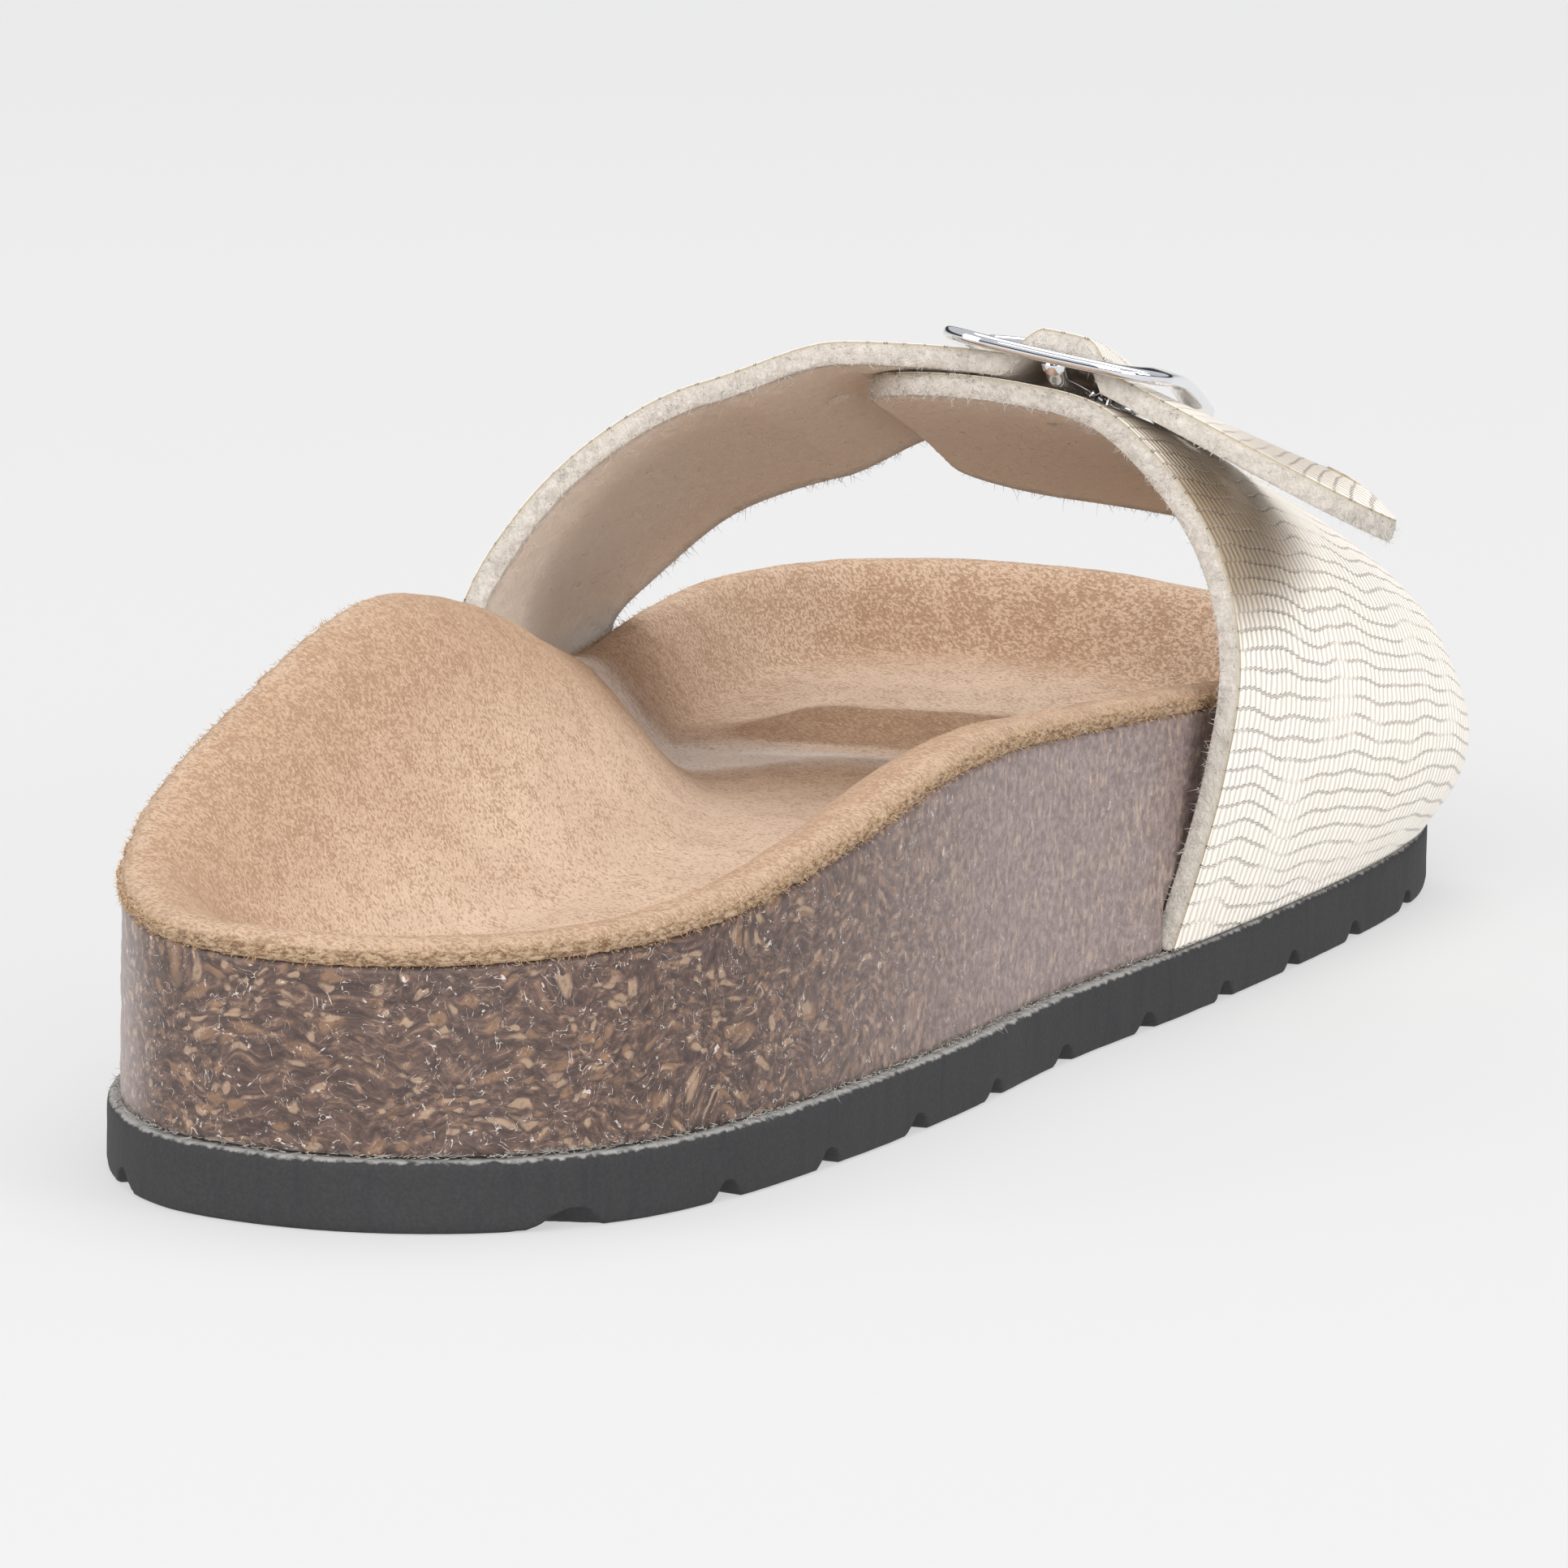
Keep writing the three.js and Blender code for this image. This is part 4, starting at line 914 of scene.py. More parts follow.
def make_buckle(context):
    """Buckle frame: a flattened bar along a rounded rectangle. Centre bar and prong: round
    wires, the bar's ends rising into the frame, the prong along a smooth curve through the hole."""
    last, sizes = Last(context.scene.sandal_sizes), context.scene.sandal_sizes
    buckle = Buckle(last)
    corner = BUCKLE_CORNER - sizes.buckle_bar / 2
    turn = np.linspace(0, math.pi / 2, 24)
    turns = [turn + k * math.pi / 2 for k in range(4)]
    quarter = [np.stack([np.cos(angle), np.sin(angle)], -1) for angle in turns]
    centres = [(1, 1), (-1, 1), (-1, -1), (1, -1)]
    flat = np.concatenate([arc * corner + np.array(c) * [buckle.reach - corner, buckle.half - corner]
                           for arc, c in zip(quarter, centres)])
    flat = even_places(flat, 176)
    place, out = buckle.on_frame(flat[:, 0], buckle.middle + flat[:, 1])
    ahead = unit(np.roll(place, -1, 0) - np.roll(place, 1, 0))
    side = unit(np.cross(out, ahead))
    metal = chrome_look(context)
    shape = Shape()
    tube(shape, place + last.shift, side, out, bar_section(sizes.buckle_bar, BUCKLE_THICKNESS), True)
    share = np.linspace(-1, 1, 40)
    climb = CENTRE_BAR_CLIMB * ease((np.abs(share) - 0.86) / 0.1)
    bar_y = buckle.middle + share * (buckle.half - 0.0003)
    place, way, _, out = buckle.on_strap(0.0, bar_y, buckle.centre_lift + climb)
    tube(shape, place + last.shift, out, way, round_section(CENTRE_BAR_RADIUS), False)
    pieces = [finish(shape.build("buckle_frame_metal", metal), "buckle_frame")]
    hook = CENTRE_BAR_RADIUS + SEAM + PRONG_RADIUS
    rest = buckle.lift + BUCKLE_THICKNESS / 2 + SEAM + PRONG_RADIUS
    rise = buckle.centre_lift
    bend = np.array([
        [hook, rise + PRONG_RADIUS / 2], [hook * 0.8, rise - hook * 0.62], [0, rise - hook],
        [-hook * 0.8, rise - hook * 0.62], [-hook, rise + PRONG_RADIUS / 2],
        [-hook - PRONG_RADIUS / 2, rise + PRONG_RISE], [-hook - PRONG_RADIUS, rest - 1.5 * PRONG_RADIUS],
        [-hook - 2 * PRONG_RADIUS, rest], [-hook - 6 * PRONG_RADIUS, rest],
        [-buckle.reach - BUCKLE_SHIFT - PRONG_OVERHANG, rest],
    ])
    bend = smooth_curve(bend, 8)
    place, _, forward, _ = buckle.on_strap(bend[:, 0], buckle.middle, bend[:, 1])
    ahead = unit(np.gradient(place, axis=0))
    prong = Shape()
    upwards = unit(np.cross(ahead, forward))
    tube(prong, place + last.shift, forward, upwards, round_section(PRONG_RADIUS, 12), False)
    pieces.append(finish(prong.build("buckle_prong_metal", metal), "buckle_prong"))
    return pieces


def make_straps(context):
    """Both strap halves, with round holes in the inner one and a slot in the outer one."""
    last, sizes = Last(context.scene.sandal_sizes), context.scene.sandal_sizes
    buckle = Buckle(last)
    materials = (skin_look(context), felt_look(context))
    inner = inner_half_grid(last)
    thick = sizes.strap_thickness
    used = -CENTRE_BAR_RADIUS - SEAM - PRONG_RADIUS - SEAM
    distances = [used, -sizes.buckle_length / 2 - HOLE_PITCH, -sizes.buckle_length / 2 - 2 * HOLE_PITCH]
    openings = []
    for distance in distances:
        across = BUCKLE_ACROSS + distance / STRAP_ARC
        place, way, _, out = buckle.on_strap(distance, buckle.middle, last.inner_lift(across))
        openings.append((place, out, way, HOLE_RADIUS, (1.0, 1.0)))
    rows = inner[0]
    for k in (1, 2):
        share = HOLE_PITCH * k / TIP_LENGTH
        row = INNER_ROWS + int(np.argmin(np.abs(TIP_SHARES - share)))
        middle = rows.shape[1] // 2
        ahead = unit(rows[row + 1, middle] - rows[row - 1, middle])
        out = unit(np.cross(ahead, rows[row, middle + 1] - rows[row, middle - 1]))
        openings.append((rows[row, middle], out, ahead, HOLE_RADIUS, (1.0, 1.0)))
    moved = (inner[0] + last.shift,) + inner[1:]
    openings = [(place + last.shift, *rest) for place, *rest in openings]
    pieces = [strap_half("inner_half_felted", "strap_inner_half", moved, thick, openings, materials)]
    outer = outer_half_grid(last)
    place, way, _, out = buckle.on_strap(0.0, buckle.middle, 0.0)
    slot = [(place + last.shift, out, way, SLOT_RADIUS, SLOT_STRETCH)]
    moved = (outer[0] + last.shift,) + outer[1:]
    pieces.append(strap_half("outer_half_felted", "strap_outer_half", moved, thick, slot, materials))
    return pieces


def hairs(name, colour, seed, roots, ways, lengths, radius, droop=0.0):
    """Fibres as one piece: thin three-sided tapered tubes along root + way s, with a random
    curl and a droop that grow with s squared."""
    random = np.random.default_rng(seed)
    count, steps = len(roots), 3
    s = np.linspace(0, 1, steps)[None, :, None]
    curl = random.normal(0, 0.35, (count, 1, 3)) * lengths[:, None, None]
    path = roots[:, None] + ways[:, None] * lengths[:, None, None] * s + curl * s ** 2
    path[..., 2] -= droop * s[..., 0] ** 2
    ahead = unit(ways)[:, None]
    side = unit(np.cross(ahead, random.normal(0, 1, (count, 1, 3))))
    up = np.cross(ahead, side)
    turn = np.arange(3) * 2 * math.pi / 3
    thick = radius * (1 - 0.85 * s)[..., None]
    ring = np.cos(turn)[:, None] * side[:, :, None] + np.sin(turn)[:, None] * up[:, :, None]
    places = path[:, :, None] + ring * thick
    shape = Shape()
    numbers = shape.add(places)
    here, nexts = numbers, np.roll(numbers, -1, 2)
    shape.face(np.stack([here[:, :-1], nexts[:, :-1], nexts[:, 1:], here[:, 1:]], -1))
    shape.face(numbers[:, 0, ::-1])
    shape.face(numbers[:, -1])
    return finish(shape.build(name, hair_look(name, colour)), None)


def make_hairs(context):
    """Fibres on the suede's cut edge, on the felt's face and cut edges and along the joint."""
    last, sizes = Last(context.scene.sandal_sizes), context.scene.sandal_sizes
    random = np.random.default_rng(7)
    count = sizes.hair_count
    rings = Rings(last, 4000)
    pick = random.integers(0, 4000, count)
    plan, outwards = rings.outline[pick], rings.outwards[pick]
    rim = last.footbed_height(plan, np.zeros(count))
    down = random.uniform(-0.1, 1.0, count)
    roots = np.column_stack([plan + outwards * 0.0002, rim - sizes.lining_thickness * down]) + last.shift
    lean = random.normal(0, 0.6, (count, 3))
    ways = unit(np.column_stack([outwards, 0.5 - down]) + lean)
    lengths = sizes.hair_length * random.uniform(0.25, 0.8, count)
    made = [hairs("suede_edge_hairs", tone(226, 190, 148), 8, roots, ways, lengths, 0.00005)]
    roots, ways, face_roots, face_ways = [], [], [], []
    for grid in (inner_half_grid(last), outer_half_grid(last)):
        outer, out, columns = grid[0], grid[1], grid[4]
        share = len(outer) / 560 * count
        number = int(share * 0.5)
        row = random.integers(8, len(outer) - 8, number)
        near_edges = random.beta(0.55, 0.55, number)
        column = np.clip(np.searchsorted(columns, 0.02 + 0.96 * near_edges), 1, len(columns) - 2)
        face = outer[row, column] - out[row, column] * (sizes.strap_thickness - 0.00005)
        face_roots.append(face + last.shift)
        lie = outer[row, column + 1] - outer[row, column - 1]
        along = outer[row + 1, column] - outer[row - 1, column]
        turn = random.uniform(0, 2 * math.pi, number)[:, None]
        flat = unit(lie) * np.cos(turn) + unit(along) * np.sin(turn)
        face_ways.append(unit(flat - out[row, column] * random.uniform(0.0, 0.25, number)[:, None]))
        for column, beside in ((0, 2), (-1, -3)):
            row = random.integers(0, len(outer), int(share / 2))
            deep = random.uniform(0.15, 1.0, len(row))[:, None] * sizes.strap_thickness
            edge = outer[row, column] - out[row, column] * deep
            off = unit(outer[row, column] - outer[row, beside])
            roots.append(edge + last.shift + off * 0.0001)
            ways.append(unit(off + random.normal(0, 0.7, (len(row), 3)) - out[row, column] * 0.3))
    roots, ways = np.concatenate(roots), np.concatenate(ways)
    face_roots, face_ways = np.concatenate(face_roots), np.concatenate(face_ways)
    lengths = sizes.hair_length * random.uniform(0.6, 2.2, len(face_roots))
    made.append(hairs("felt_face_hairs", tone(255, 250, 244), 11, face_roots, face_ways,
                      lengths, 0.000035))
    lengths = sizes.hair_length * random.uniform(0.4, 1.5, len(roots))
    made.append(hairs("felt_edge_hairs", tone(236, 232, 226), 9, roots, ways, lengths,
                      0.00004, 0.0001))
    pick = random.integers(0, 4000, count // 4)
    plan, outwards = rings.outline[pick], rings.outwards[pick]
    z = sizes.outsole_height + SEAM + last.spring_at(plan[:, 1]) + random.uniform(-0.0001, 0.0002, len(pick))
    off = random.uniform(0.0, 0.0006, len(pick))[:, None]
    roots = np.column_stack([plan + outwards * off, z]) + last.shift
    round_sole = np.column_stack([-outwards[:, 1], outwards[:, 0], np.zeros(len(pick))])
    round_sole *= random.choice([-1, 1], len(pick))[:, None]
    ways = unit(round_sole + random.normal(0, 0.5, (len(pick), 3)) * [1, 1, 0.4])
    lengths = 0.0012 * random.uniform(0.3, 1.0, len(pick))
    made.append(hairs("joint_hairs", tone(190, 184, 176), 10, roots, ways, lengths, 0.00006))
    return made


def finish(thing, node):
    """Hangs a piece on the frame, in the place of a CAD node if one is named."""
    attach(thing, "root")
    if node:
        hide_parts(node)
    return thing


class Wire:
    """A node's output that can be used in sums."""

    def __init__(self, look, socket):
        self.look, self.socket = look, socket

    def sum(self, operation, *others):
        """A Math node on this value and others."""
        return self.look.node("ShaderNodeMath", {"operation": operation}, dict(enumerate((self, *others))))

    def __add__(self, other):
        return self.sum("ADD", other)

    def __sub__(self, other):
        return self.sum("SUBTRACT", other)

    def __mul__(self, other):
        return self.sum("MULTIPLY", other)

    def __truediv__(self, other):
        return self.sum("DIVIDE", other)

    def __radd__(self, other):
        return self.look.node("ShaderNodeMath", {"operation": "ADD"}, {0: other, 1: self})

    def __rsub__(self, other):
        return self.look.node("ShaderNodeMath", {"operation": "SUBTRACT"}, {0: other, 1: self})

    def __rmul__(self, other):
        return self.look.node("ShaderNodeMath", {"operation": "MULTIPLY"}, {0: other, 1: self})

    def step(self, low, high):
        """Smooth step of this value from low to high."""
        return self.look.node("ShaderNodeMapRange", {"interpolation_type": "SMOOTHSTEP"},
                              {"Value": self, "From Min": low, "From Max": high}, "Result")


class Look:
    """Nodes of one material that ends in a Principled shader."""

    def __init__(self, name, **settings):
        self.material = bpy.data.materials.new(name)
        self.material.use_nodes = True
        self.tree = self.material.node_tree
        self.tree.nodes.clear()
        self.shader = self.tree.nodes.new("ShaderNodeBsdfPrincipled")
        end = self.tree.nodes.new("ShaderNodeOutputMaterial")
        self.tree.links.new(self.shader.outputs[0], end.inputs[0])
        for name, value in settings.items():
            self.shader.inputs[name.replace("_", " ").title().replace("Ior", "IOR")].default_value = value

    def node(self, kind, settings=None, inputs=None, output=0):
        """Any node: its settings first, then values or wires on its inputs."""
        made = self.tree.nodes.new(kind)
        for key, value in (settings or {}).items():
            if key == "stops":
                ramp = made.color_ramp
                while len(ramp.elements) < len(value):
                    ramp.elements.new(1.0)
                for element, (place, colour) in zip(ramp.elements, value):
                    element.position, element.color = place, colour
            else:
                setattr(made, key, value)
        for key, value in (inputs or {}).items():
            if isinstance(value, Wire):
                self.tree.links.new(value.socket, made.inputs[key])
            else:
                made.inputs[key].default_value = value
        return Wire(self, made.outputs[output])

    def place(self, scale=(1, 1, 1), turn=(0, 0, 0)):
        """Object coordinates in millimetres, turned and then stretched."""
        raw = self.node("ShaderNodeTexCoord", output="Object")
        turned = self.node("ShaderNodeMapping", {}, {"Vector": raw, "Rotation": turn})
        return self.node("ShaderNodeVectorMath", {"operation": "MULTIPLY"},
                         {0: turned, 1: tuple(1000 * v for v in scale)})

    def noise(self, vector, scale, detail, rough, warp=0.0):
        """Fractal noise from 0 to 1."""
        return self.node("ShaderNodeTexNoise", {}, {
            "Vector": vector, "Scale": scale, "Detail": detail, "Roughness": rough,
            "Distortion": warp}, "Fac")

    def value(self, name):
        """A named value of the mesh's vertices."""
        return self.node("ShaderNodeAttribute", {"attribute_name": name}, {}, "Fac")

    def blend(self, share, a, b):
        """Blend of two colours by a share."""
        return self.node("ShaderNodeMix", {"data_type": "RGBA", "clamp_factor": True},
                         {0: share, 6: a, 7: b}, 2)

    def moved(self, vector, by, reach):
        """A vector pushed by a noise colour."""
        noise = self.node("ShaderNodeTexNoise", {}, {"Vector": vector, "Scale": by, "Detail": 1.0}, "Color")
        centred = self.node("ShaderNodeVectorMath", {"operation": "SUBTRACT"}, {0: noise, 1: (0.5, 0.5, 0.5)})
        return self.node("ShaderNodeVectorMath", {"operation": "MULTIPLY_ADD"},
                         {0: centred, 1: (reach,) * 3, 2: vector})

    def near(self, centre, radius):
        """1 at a place of the object, in metres, and 0 past the radii of an ellipsoid."""
        raw = self.node("ShaderNodeTexCoord", output="Object")
        off = self.node("ShaderNodeVectorMath", {"operation": "SUBTRACT"}, {0: raw, 1: tuple(centre)})
        shrunk = self.node("ShaderNodeVectorMath", {"operation": "DIVIDE"}, {0: off, 1: tuple(radius)})
        length = self.node("ShaderNodeVectorMath", {"operation": "LENGTH"}, {0: shrunk}, "Value")
        return 1 - length.step(0.35, 1.0)

    def use(self, **wires):
        """Joins wires to the shader, a height through a Bump node to its normal."""
        depth = wires.pop("depth", 0.0001)
        for name, wire in wires.items():
            if name == "height":
                wire = self.node("ShaderNodeBump", {}, {"Height": wire, "Distance": depth, "Strength": 1.0})
                name = "Normal"
            self.tree.links.new(wire.socket, self.shader.inputs[name.replace("_", " ").title()])
        return self.material


def suede_look(context):
    """Suede: fine dark grains over a mottled ground, denser on the walls and on slopes that
    rise to the toe, with painted shade on those slopes, a pale hollow behind them that is
    partly burnished and partly painted light where the arch wall and the strap shade it,
    and a woolly cut edge."""
    colours = context.scene.sandal_colours
    look = Look("suede", roughness=0.95, specular_ior_level=0.18, sheen_weight=0.2, sheen_roughness=0.6)
    look.shader.inputs["Sheen Tint"].default_value = tone(236, 214, 194)
    rim, rise = look.value("rim"), look.value("rise")
    streak = look.place((1.7, 3.3, 2.7), (0, 0, math.radians(32)))
    flecks = look.noise(look.moved(streak, 0.6, 0.5), 1.0, 3.0, 0.62)
    fine = look.noise(look.place((2.2, 4.2, 3.0), (0, 0, math.radians(20))), 1.0, 2.0, 0.6)
    ground = look.noise(look.place(), 0.09, 3.0, 0.55)
    patches = look.noise(look.place(), 0.22, 3.0, 0.6)
    clumps = look.noise(look.place(), 0.6, 2.0, 0.5) - 0.5
    lip = 1 - rim.step(0.3, 3.2)
    wall = rim.step(0.8, 3.0) * (1 - rim.step(7.0, 22.0))
    raw = look.node("ShaderNodeTexCoord", output="Object")
    along = look.node("ShaderNodeSeparateXYZ", {}, {0: raw}, "Y")
    # Painted shade: slopes of the toe bar that turn towards the heel are darkened, with denser flecks for
    # their rougher nap.
    slope_nap_and_shade = rise.step(0.05, 0.18) * (along + patches * 0.004).step(0.047, 0.053)
    # Pale hollow behind the toe bar: partly burnished suede, partly painted light where the arch wall shades
    # it. The second, weaker mask is painted light on the inner wall under the strap.
    burnish_and_painted_light = look.near((-0.016, 0.040, 0.018), (0.038, 0.024, 0.03)) * (1 - slope_nap_and_shade)
    burnish_and_painted_light = burnish_and_painted_light + look.near((-0.036, 0.038, 0.024), (0.016, 0.032, 0.018)) * 0.5
    worn = look.near((-0.004, 0.021, 0.018), (0.020, 0.013, 0.02))
    rough = wall * 0.065 + slope_nap_and_shade * 0.06 + worn * 0.04 + patches.step(0.46, 0.62) * 0.05 - burnish_and_painted_light * 0.06
    dark = (flecks - rough - clumps * 0.22 - lip * 0.04).step(0.48, 0.36)
    colour = look.blend(ground.step(0.35, 0.68) * 0.7, colours.suede, tone(224, 198, 174))
    colour = look.blend(wall * (0.75 - 0.5 * along.step(0.03, 0.06)), colour, tone(186, 152, 122))
    # Painted shade on the heel-side slopes of the toe bar.
    colour = look.blend(slope_nap_and_shade * 0.85, colour, tone(172, 138, 110))
    # Painted light over the burnished tone in the hollow and on the inner wall.
    colour = look.blend(burnish_and_painted_light * 1.3, colour, tone(252, 243, 236))
    colour = look.blend(worn * 0.5, colour, tone(180, 146, 116))
    colour = look.blend(lip * 0.55, colour, tone(178, 146, 116))
    colour = look.blend(dark * 0.6, colour, colours.suede_dark)
    colour = look.blend(fine.step(0.56, 0.72) * 0.4, colour, tone(238, 216, 192))
    colour = look.blend(fine.step(0.44, 0.28) * 0.4, colour, tone(160, 124, 94))
    edge = 1 - rim.step(-0.75, 0.15)
    wool = look.noise(look.moved(look.place((1.0, 1.0, 2.4)), 0.8, 0.8), 1.3, 4.0, 0.68)
    cut_tone = look.blend(wool.step(0.36, 0.62), tone(132, 98, 70), tone(216, 186, 154))
    colour = look.blend(edge, colour, cut_tone)
    height = fine * 0.5 + flecks * 1.1 + wool * (edge + lip * 0.7) * 1.2
    return look.use(base_color=colour, height=height, depth=0.0004)


def cork_look(context):
    """Cork: red-brown ground with swirling fibres, ochre and tan flakes and pale threads at
    the heel, greyer and finer with upright flakes towards the toe, under a thin lacquer, and
    a painted sheen that lightens the heel's inner back corner and, faintly, the front part."""
    colours = context.scene.sandal_colours
    look = Look("cork", roughness=0.62, specular_ior_level=0.45, coat_weight=0.35, coat_roughness=0.32)
    raw = look.node("ShaderNodeTexCoord", output="Object")
    y = look.node("ShaderNodeSeparateXYZ", {}, {0: raw}, "Y")
    fore = y.step(-0.100, -0.025)

    def stretched(vector, turn, scale):
        """A vector turned and stretched."""
        return look.node("ShaderNodeMapping", {}, {"Vector": vector, "Rotation": turn, "Scale": scale})

    def flakes(vector, share):
        """1 on a share of loose flakes, each the middle of a cell."""
        inputs = {"Vector": vector, "Scale": 1.0}
        cell = look.node("ShaderNodeTexVoronoi", {"feature": "F1"}, inputs, "Color")
        middle = look.node("ShaderNodeTexVoronoi", {"feature": "F1"}, inputs, "Distance")
        pick = look.node("ShaderNodeSeparateColor", {}, {0: cell}, 0)
        return pick.step(1 - share, 1.03 - share) * (1 - middle.step(0.30, 0.62))

    base = look.place()
    bent = look.moved(look.moved(base, 0.10, 9.0), 0.6, 1.4)
    fibres = look.noise(stretched(bent, (0.5, 0.6, 0.3), (0.42, 0.9, 1.5)), 0.9, 5.0, 0.72)
    grain = look.noise(look.moved(base, 0.5, 1.0), 1.1, 4.0, 0.68)
    ramp = [(0.30, tone(46, 34, 31)), (0.43, tone(70, 52, 46)), (0.54, tone(94, 72, 63)),
            (0.64, tone(130, 102, 83)), (0.76, tone(188, 162, 138))]
    heel = look.node("ShaderNodeValToRGB", {"stops": ramp}, {0: fibres})
    ochre = flakes(stretched(bent, (0.6, 0.5, 0.2), (0.40, 0.62, 0.85)), 0.26)
    tan = flakes(stretched(bent, (-0.7, 0.4, 0.9), (0.75, 0.5, 1.2)), 0.20)
    heel = look.blend(ochre * 0.6, heel, tone(146, 112, 84))
    heel = look.blend(tan * 0.7, heel, tone(174, 146, 120))
    heel = look.blend(grain.step(0.46, 0.34) * 0.45, heel, colours.cork)
    threads = (look.noise(look.moved(base, 0.16, 5.0), 0.5, 2.0, 0.5, 1.0) - 0.5).sum("ABSOLUTE")
    thin = (1 - threads.step(0.003, 0.012)) * grain.step(0.46, 0.56)
    waist = look.blend(grain.step(0.32, 0.66), tone(104, 86, 82), tone(150, 131, 126))
    upright = flakes(stretched(look.moved(base, 0.5, 0.8), (0.1, 0.1, 0.2), (1.5, 1.5, 0.62)), 0.30)
    waist = look.blend(upright * 0.6, waist, tone(184, 158, 136))
    waist = look.blend(fibres.step(0.55, 0.40) * 0.4, waist, tone(98, 80, 76))
    colour = look.blend(fore, heel, waist)
    colour = look.blend(thin * (0.75 - 0.4 * fore), colour, tone(226, 214, 204))
    # Painted sheen: lightens the heel's inner back corner and, faintly, the front part towards pale grey.
    painted_sheen = look.near((-0.037, -0.098, 0.012), (0.018, 0.040, 0.04)) * 0.62 + fore * 0.16
    colour = look.blend(painted_sheen * (0.7 + 0.6 * (grain - 0.5)), colour, tone(206, 192, 188))
    joint = look.value("joint")
    ragged = look.noise(base, 0.9, 3.0, 0.6)
    patchy = look.noise(base, 0.12, 2.0, 0.5).step(0.40, 0.60)
    frayed = (1 - (joint - ragged * 1.4).step(-0.75, 0.05)) * (0.25 + 0.75 * patchy)
    colour = look.blend(frayed * 0.8, colour, tone(196, 190, 184))
    height = grain * 0.7 + fibres * 0.5 + thin * 0.3
    return look.use(base_color=colour, height=height, depth=0.0001)


def rubber_look(context):
    """Rubber foam: matte charcoal with faint upright scuffs and a fine grain."""
    colours = context.scene.sandal_colours
    look = Look("rubber", roughness=0.7, specular_ior_level=0.35)
    grain = look.noise(look.place(), 2.6, 3.0, 0.6)
    scuffs = look.noise(look.place((0.9, 0.9, 0.12)), 0.6, 2.0, 0.6)
    broad = look.noise(look.place(), 0.05, 2.0, 0.5)
    colour = look.blend(grain.step(0.3, 0.75) * 0.5, colours.rubber, tone(62, 62, 64))
    colour = look.blend(scuffs.step(0.5, 0.72) * 0.4, colour, tone(40, 40, 43))
    joint = look.value("joint")
    ragged = look.noise(look.place(), 1.1, 3.0, 0.6)
    dusty = (joint + ragged * 0.9).step(0.15, 0.5)
    colour = look.blend(dusty * 0.8, colour, tone(176, 174, 170))
    rough = 0.62 + 0.25 * broad
    return look.use(base_color=colour, roughness=rough, height=grain + scuffs * 0.5, depth=0.00006)


def skin_look(context):
    """Strap skin: rows of fine ribs between wavy lines that run along the foot, with painted
    shade, browner and a little glossier, in the hollow beside the free tip where the tip
    shadows the strap, and a khaki cut edge."""
    colours, sizes = context.scene.sandal_colours, context.scene.sandal_sizes
    look = Look("strap_skin", roughness=0.42, specular_ior_level=0.5, coat_weight=0.3, coat_roughness=0.22)
    uv = look.node("ShaderNodeUVMap", {"uv_map": "UVMap"})
    u = look.node("ShaderNodeSeparateXYZ", {}, {0: uv}, "X")
    v = look.node("ShaderNodeSeparateXYZ", {}, {0: uv}, "Y")
    slow = look.node("ShaderNodeCombineXYZ", {}, {0: u * 0.05, 1: v * 0.035, 2: 0.0})
    quick = look.node("ShaderNodeCombineXYZ", {}, {0: u * 0.15, 1: v * 0.12, 2: 4.0})
    wave = look.noise(slow, 1.0, 1.0, 0.4) * 5.0 + look.noise(quick, 1.0, 0.0, 0.4) * 1.5
    number = ((v - u * 0.14 + wave) / (sizes.row_pitch * 1000)).sum("FLOOR")
    lean = look.node("ShaderNodeTexWhiteNoise", {"noise_dimensions": "1D"}, {"W": number}, "Value") - 0.5
    rib = (u + v * 0.12 + lean * 2.0 + look.noise(quick, 2.0, 1.0, 0.5)) / (sizes.rib_pitch * 1000)
    ribs = (rib * (2 * math.pi)).sum("SINE") * 0.5 + 0.5
    row = (v - u * 0.14 + wave + ribs * 0.16) / (sizes.row_pitch * 1000)
    place = row.sum("FRACT")
    wool = look.noise(look.place(), 1.2, 2.0, 0.6)
    strong = look.noise(look.place(), 0.07, 2.0, 0.5).step(0.3, 0.7)
    stitched = look.noise(quick, 0.9, 1.0, 0.5).step(0.34, 0.56)
    line = (place - 0.5).sum("ABSOLUTE").step(0.41, 0.485) * (0.2 + 0.8 * stitched)
    height = ribs * (1 - line) * (0.45 + 0.5 * wool) + (1 - line) * 0.6
    depth = look.value("depth")
    # Painted shade where the free tip shadows the outer half: browner, with darker ribs and a lower
    # roughness.
    shade = look.near((0.038, 0.013, 0.048), (0.016, 0.036, 0.0125))
    colour = look.blend(shade, colours.skin, tone(150, 130, 106))
    colour = look.blend(line * (0.14 + 0.26 * wool), colour, tone(176, 158, 136))
    # Ribs darken more inside the painted shade beside the free tip.
    colour = look.blend((1 - ribs) * (0.07 + 0.12 * strong + 0.25 * shade), colour, tone(190, 174, 152))
    colour = look.blend(depth.step(0.005, 0.03), colour, tone(166, 154, 134))
    rough = 0.32 + 0.2 * strong + 0.2 * depth.step(0.005, 0.03) - 0.08 * shade
    return look.use(base_color=colour, roughness=rough, height=height, depth=0.0004)


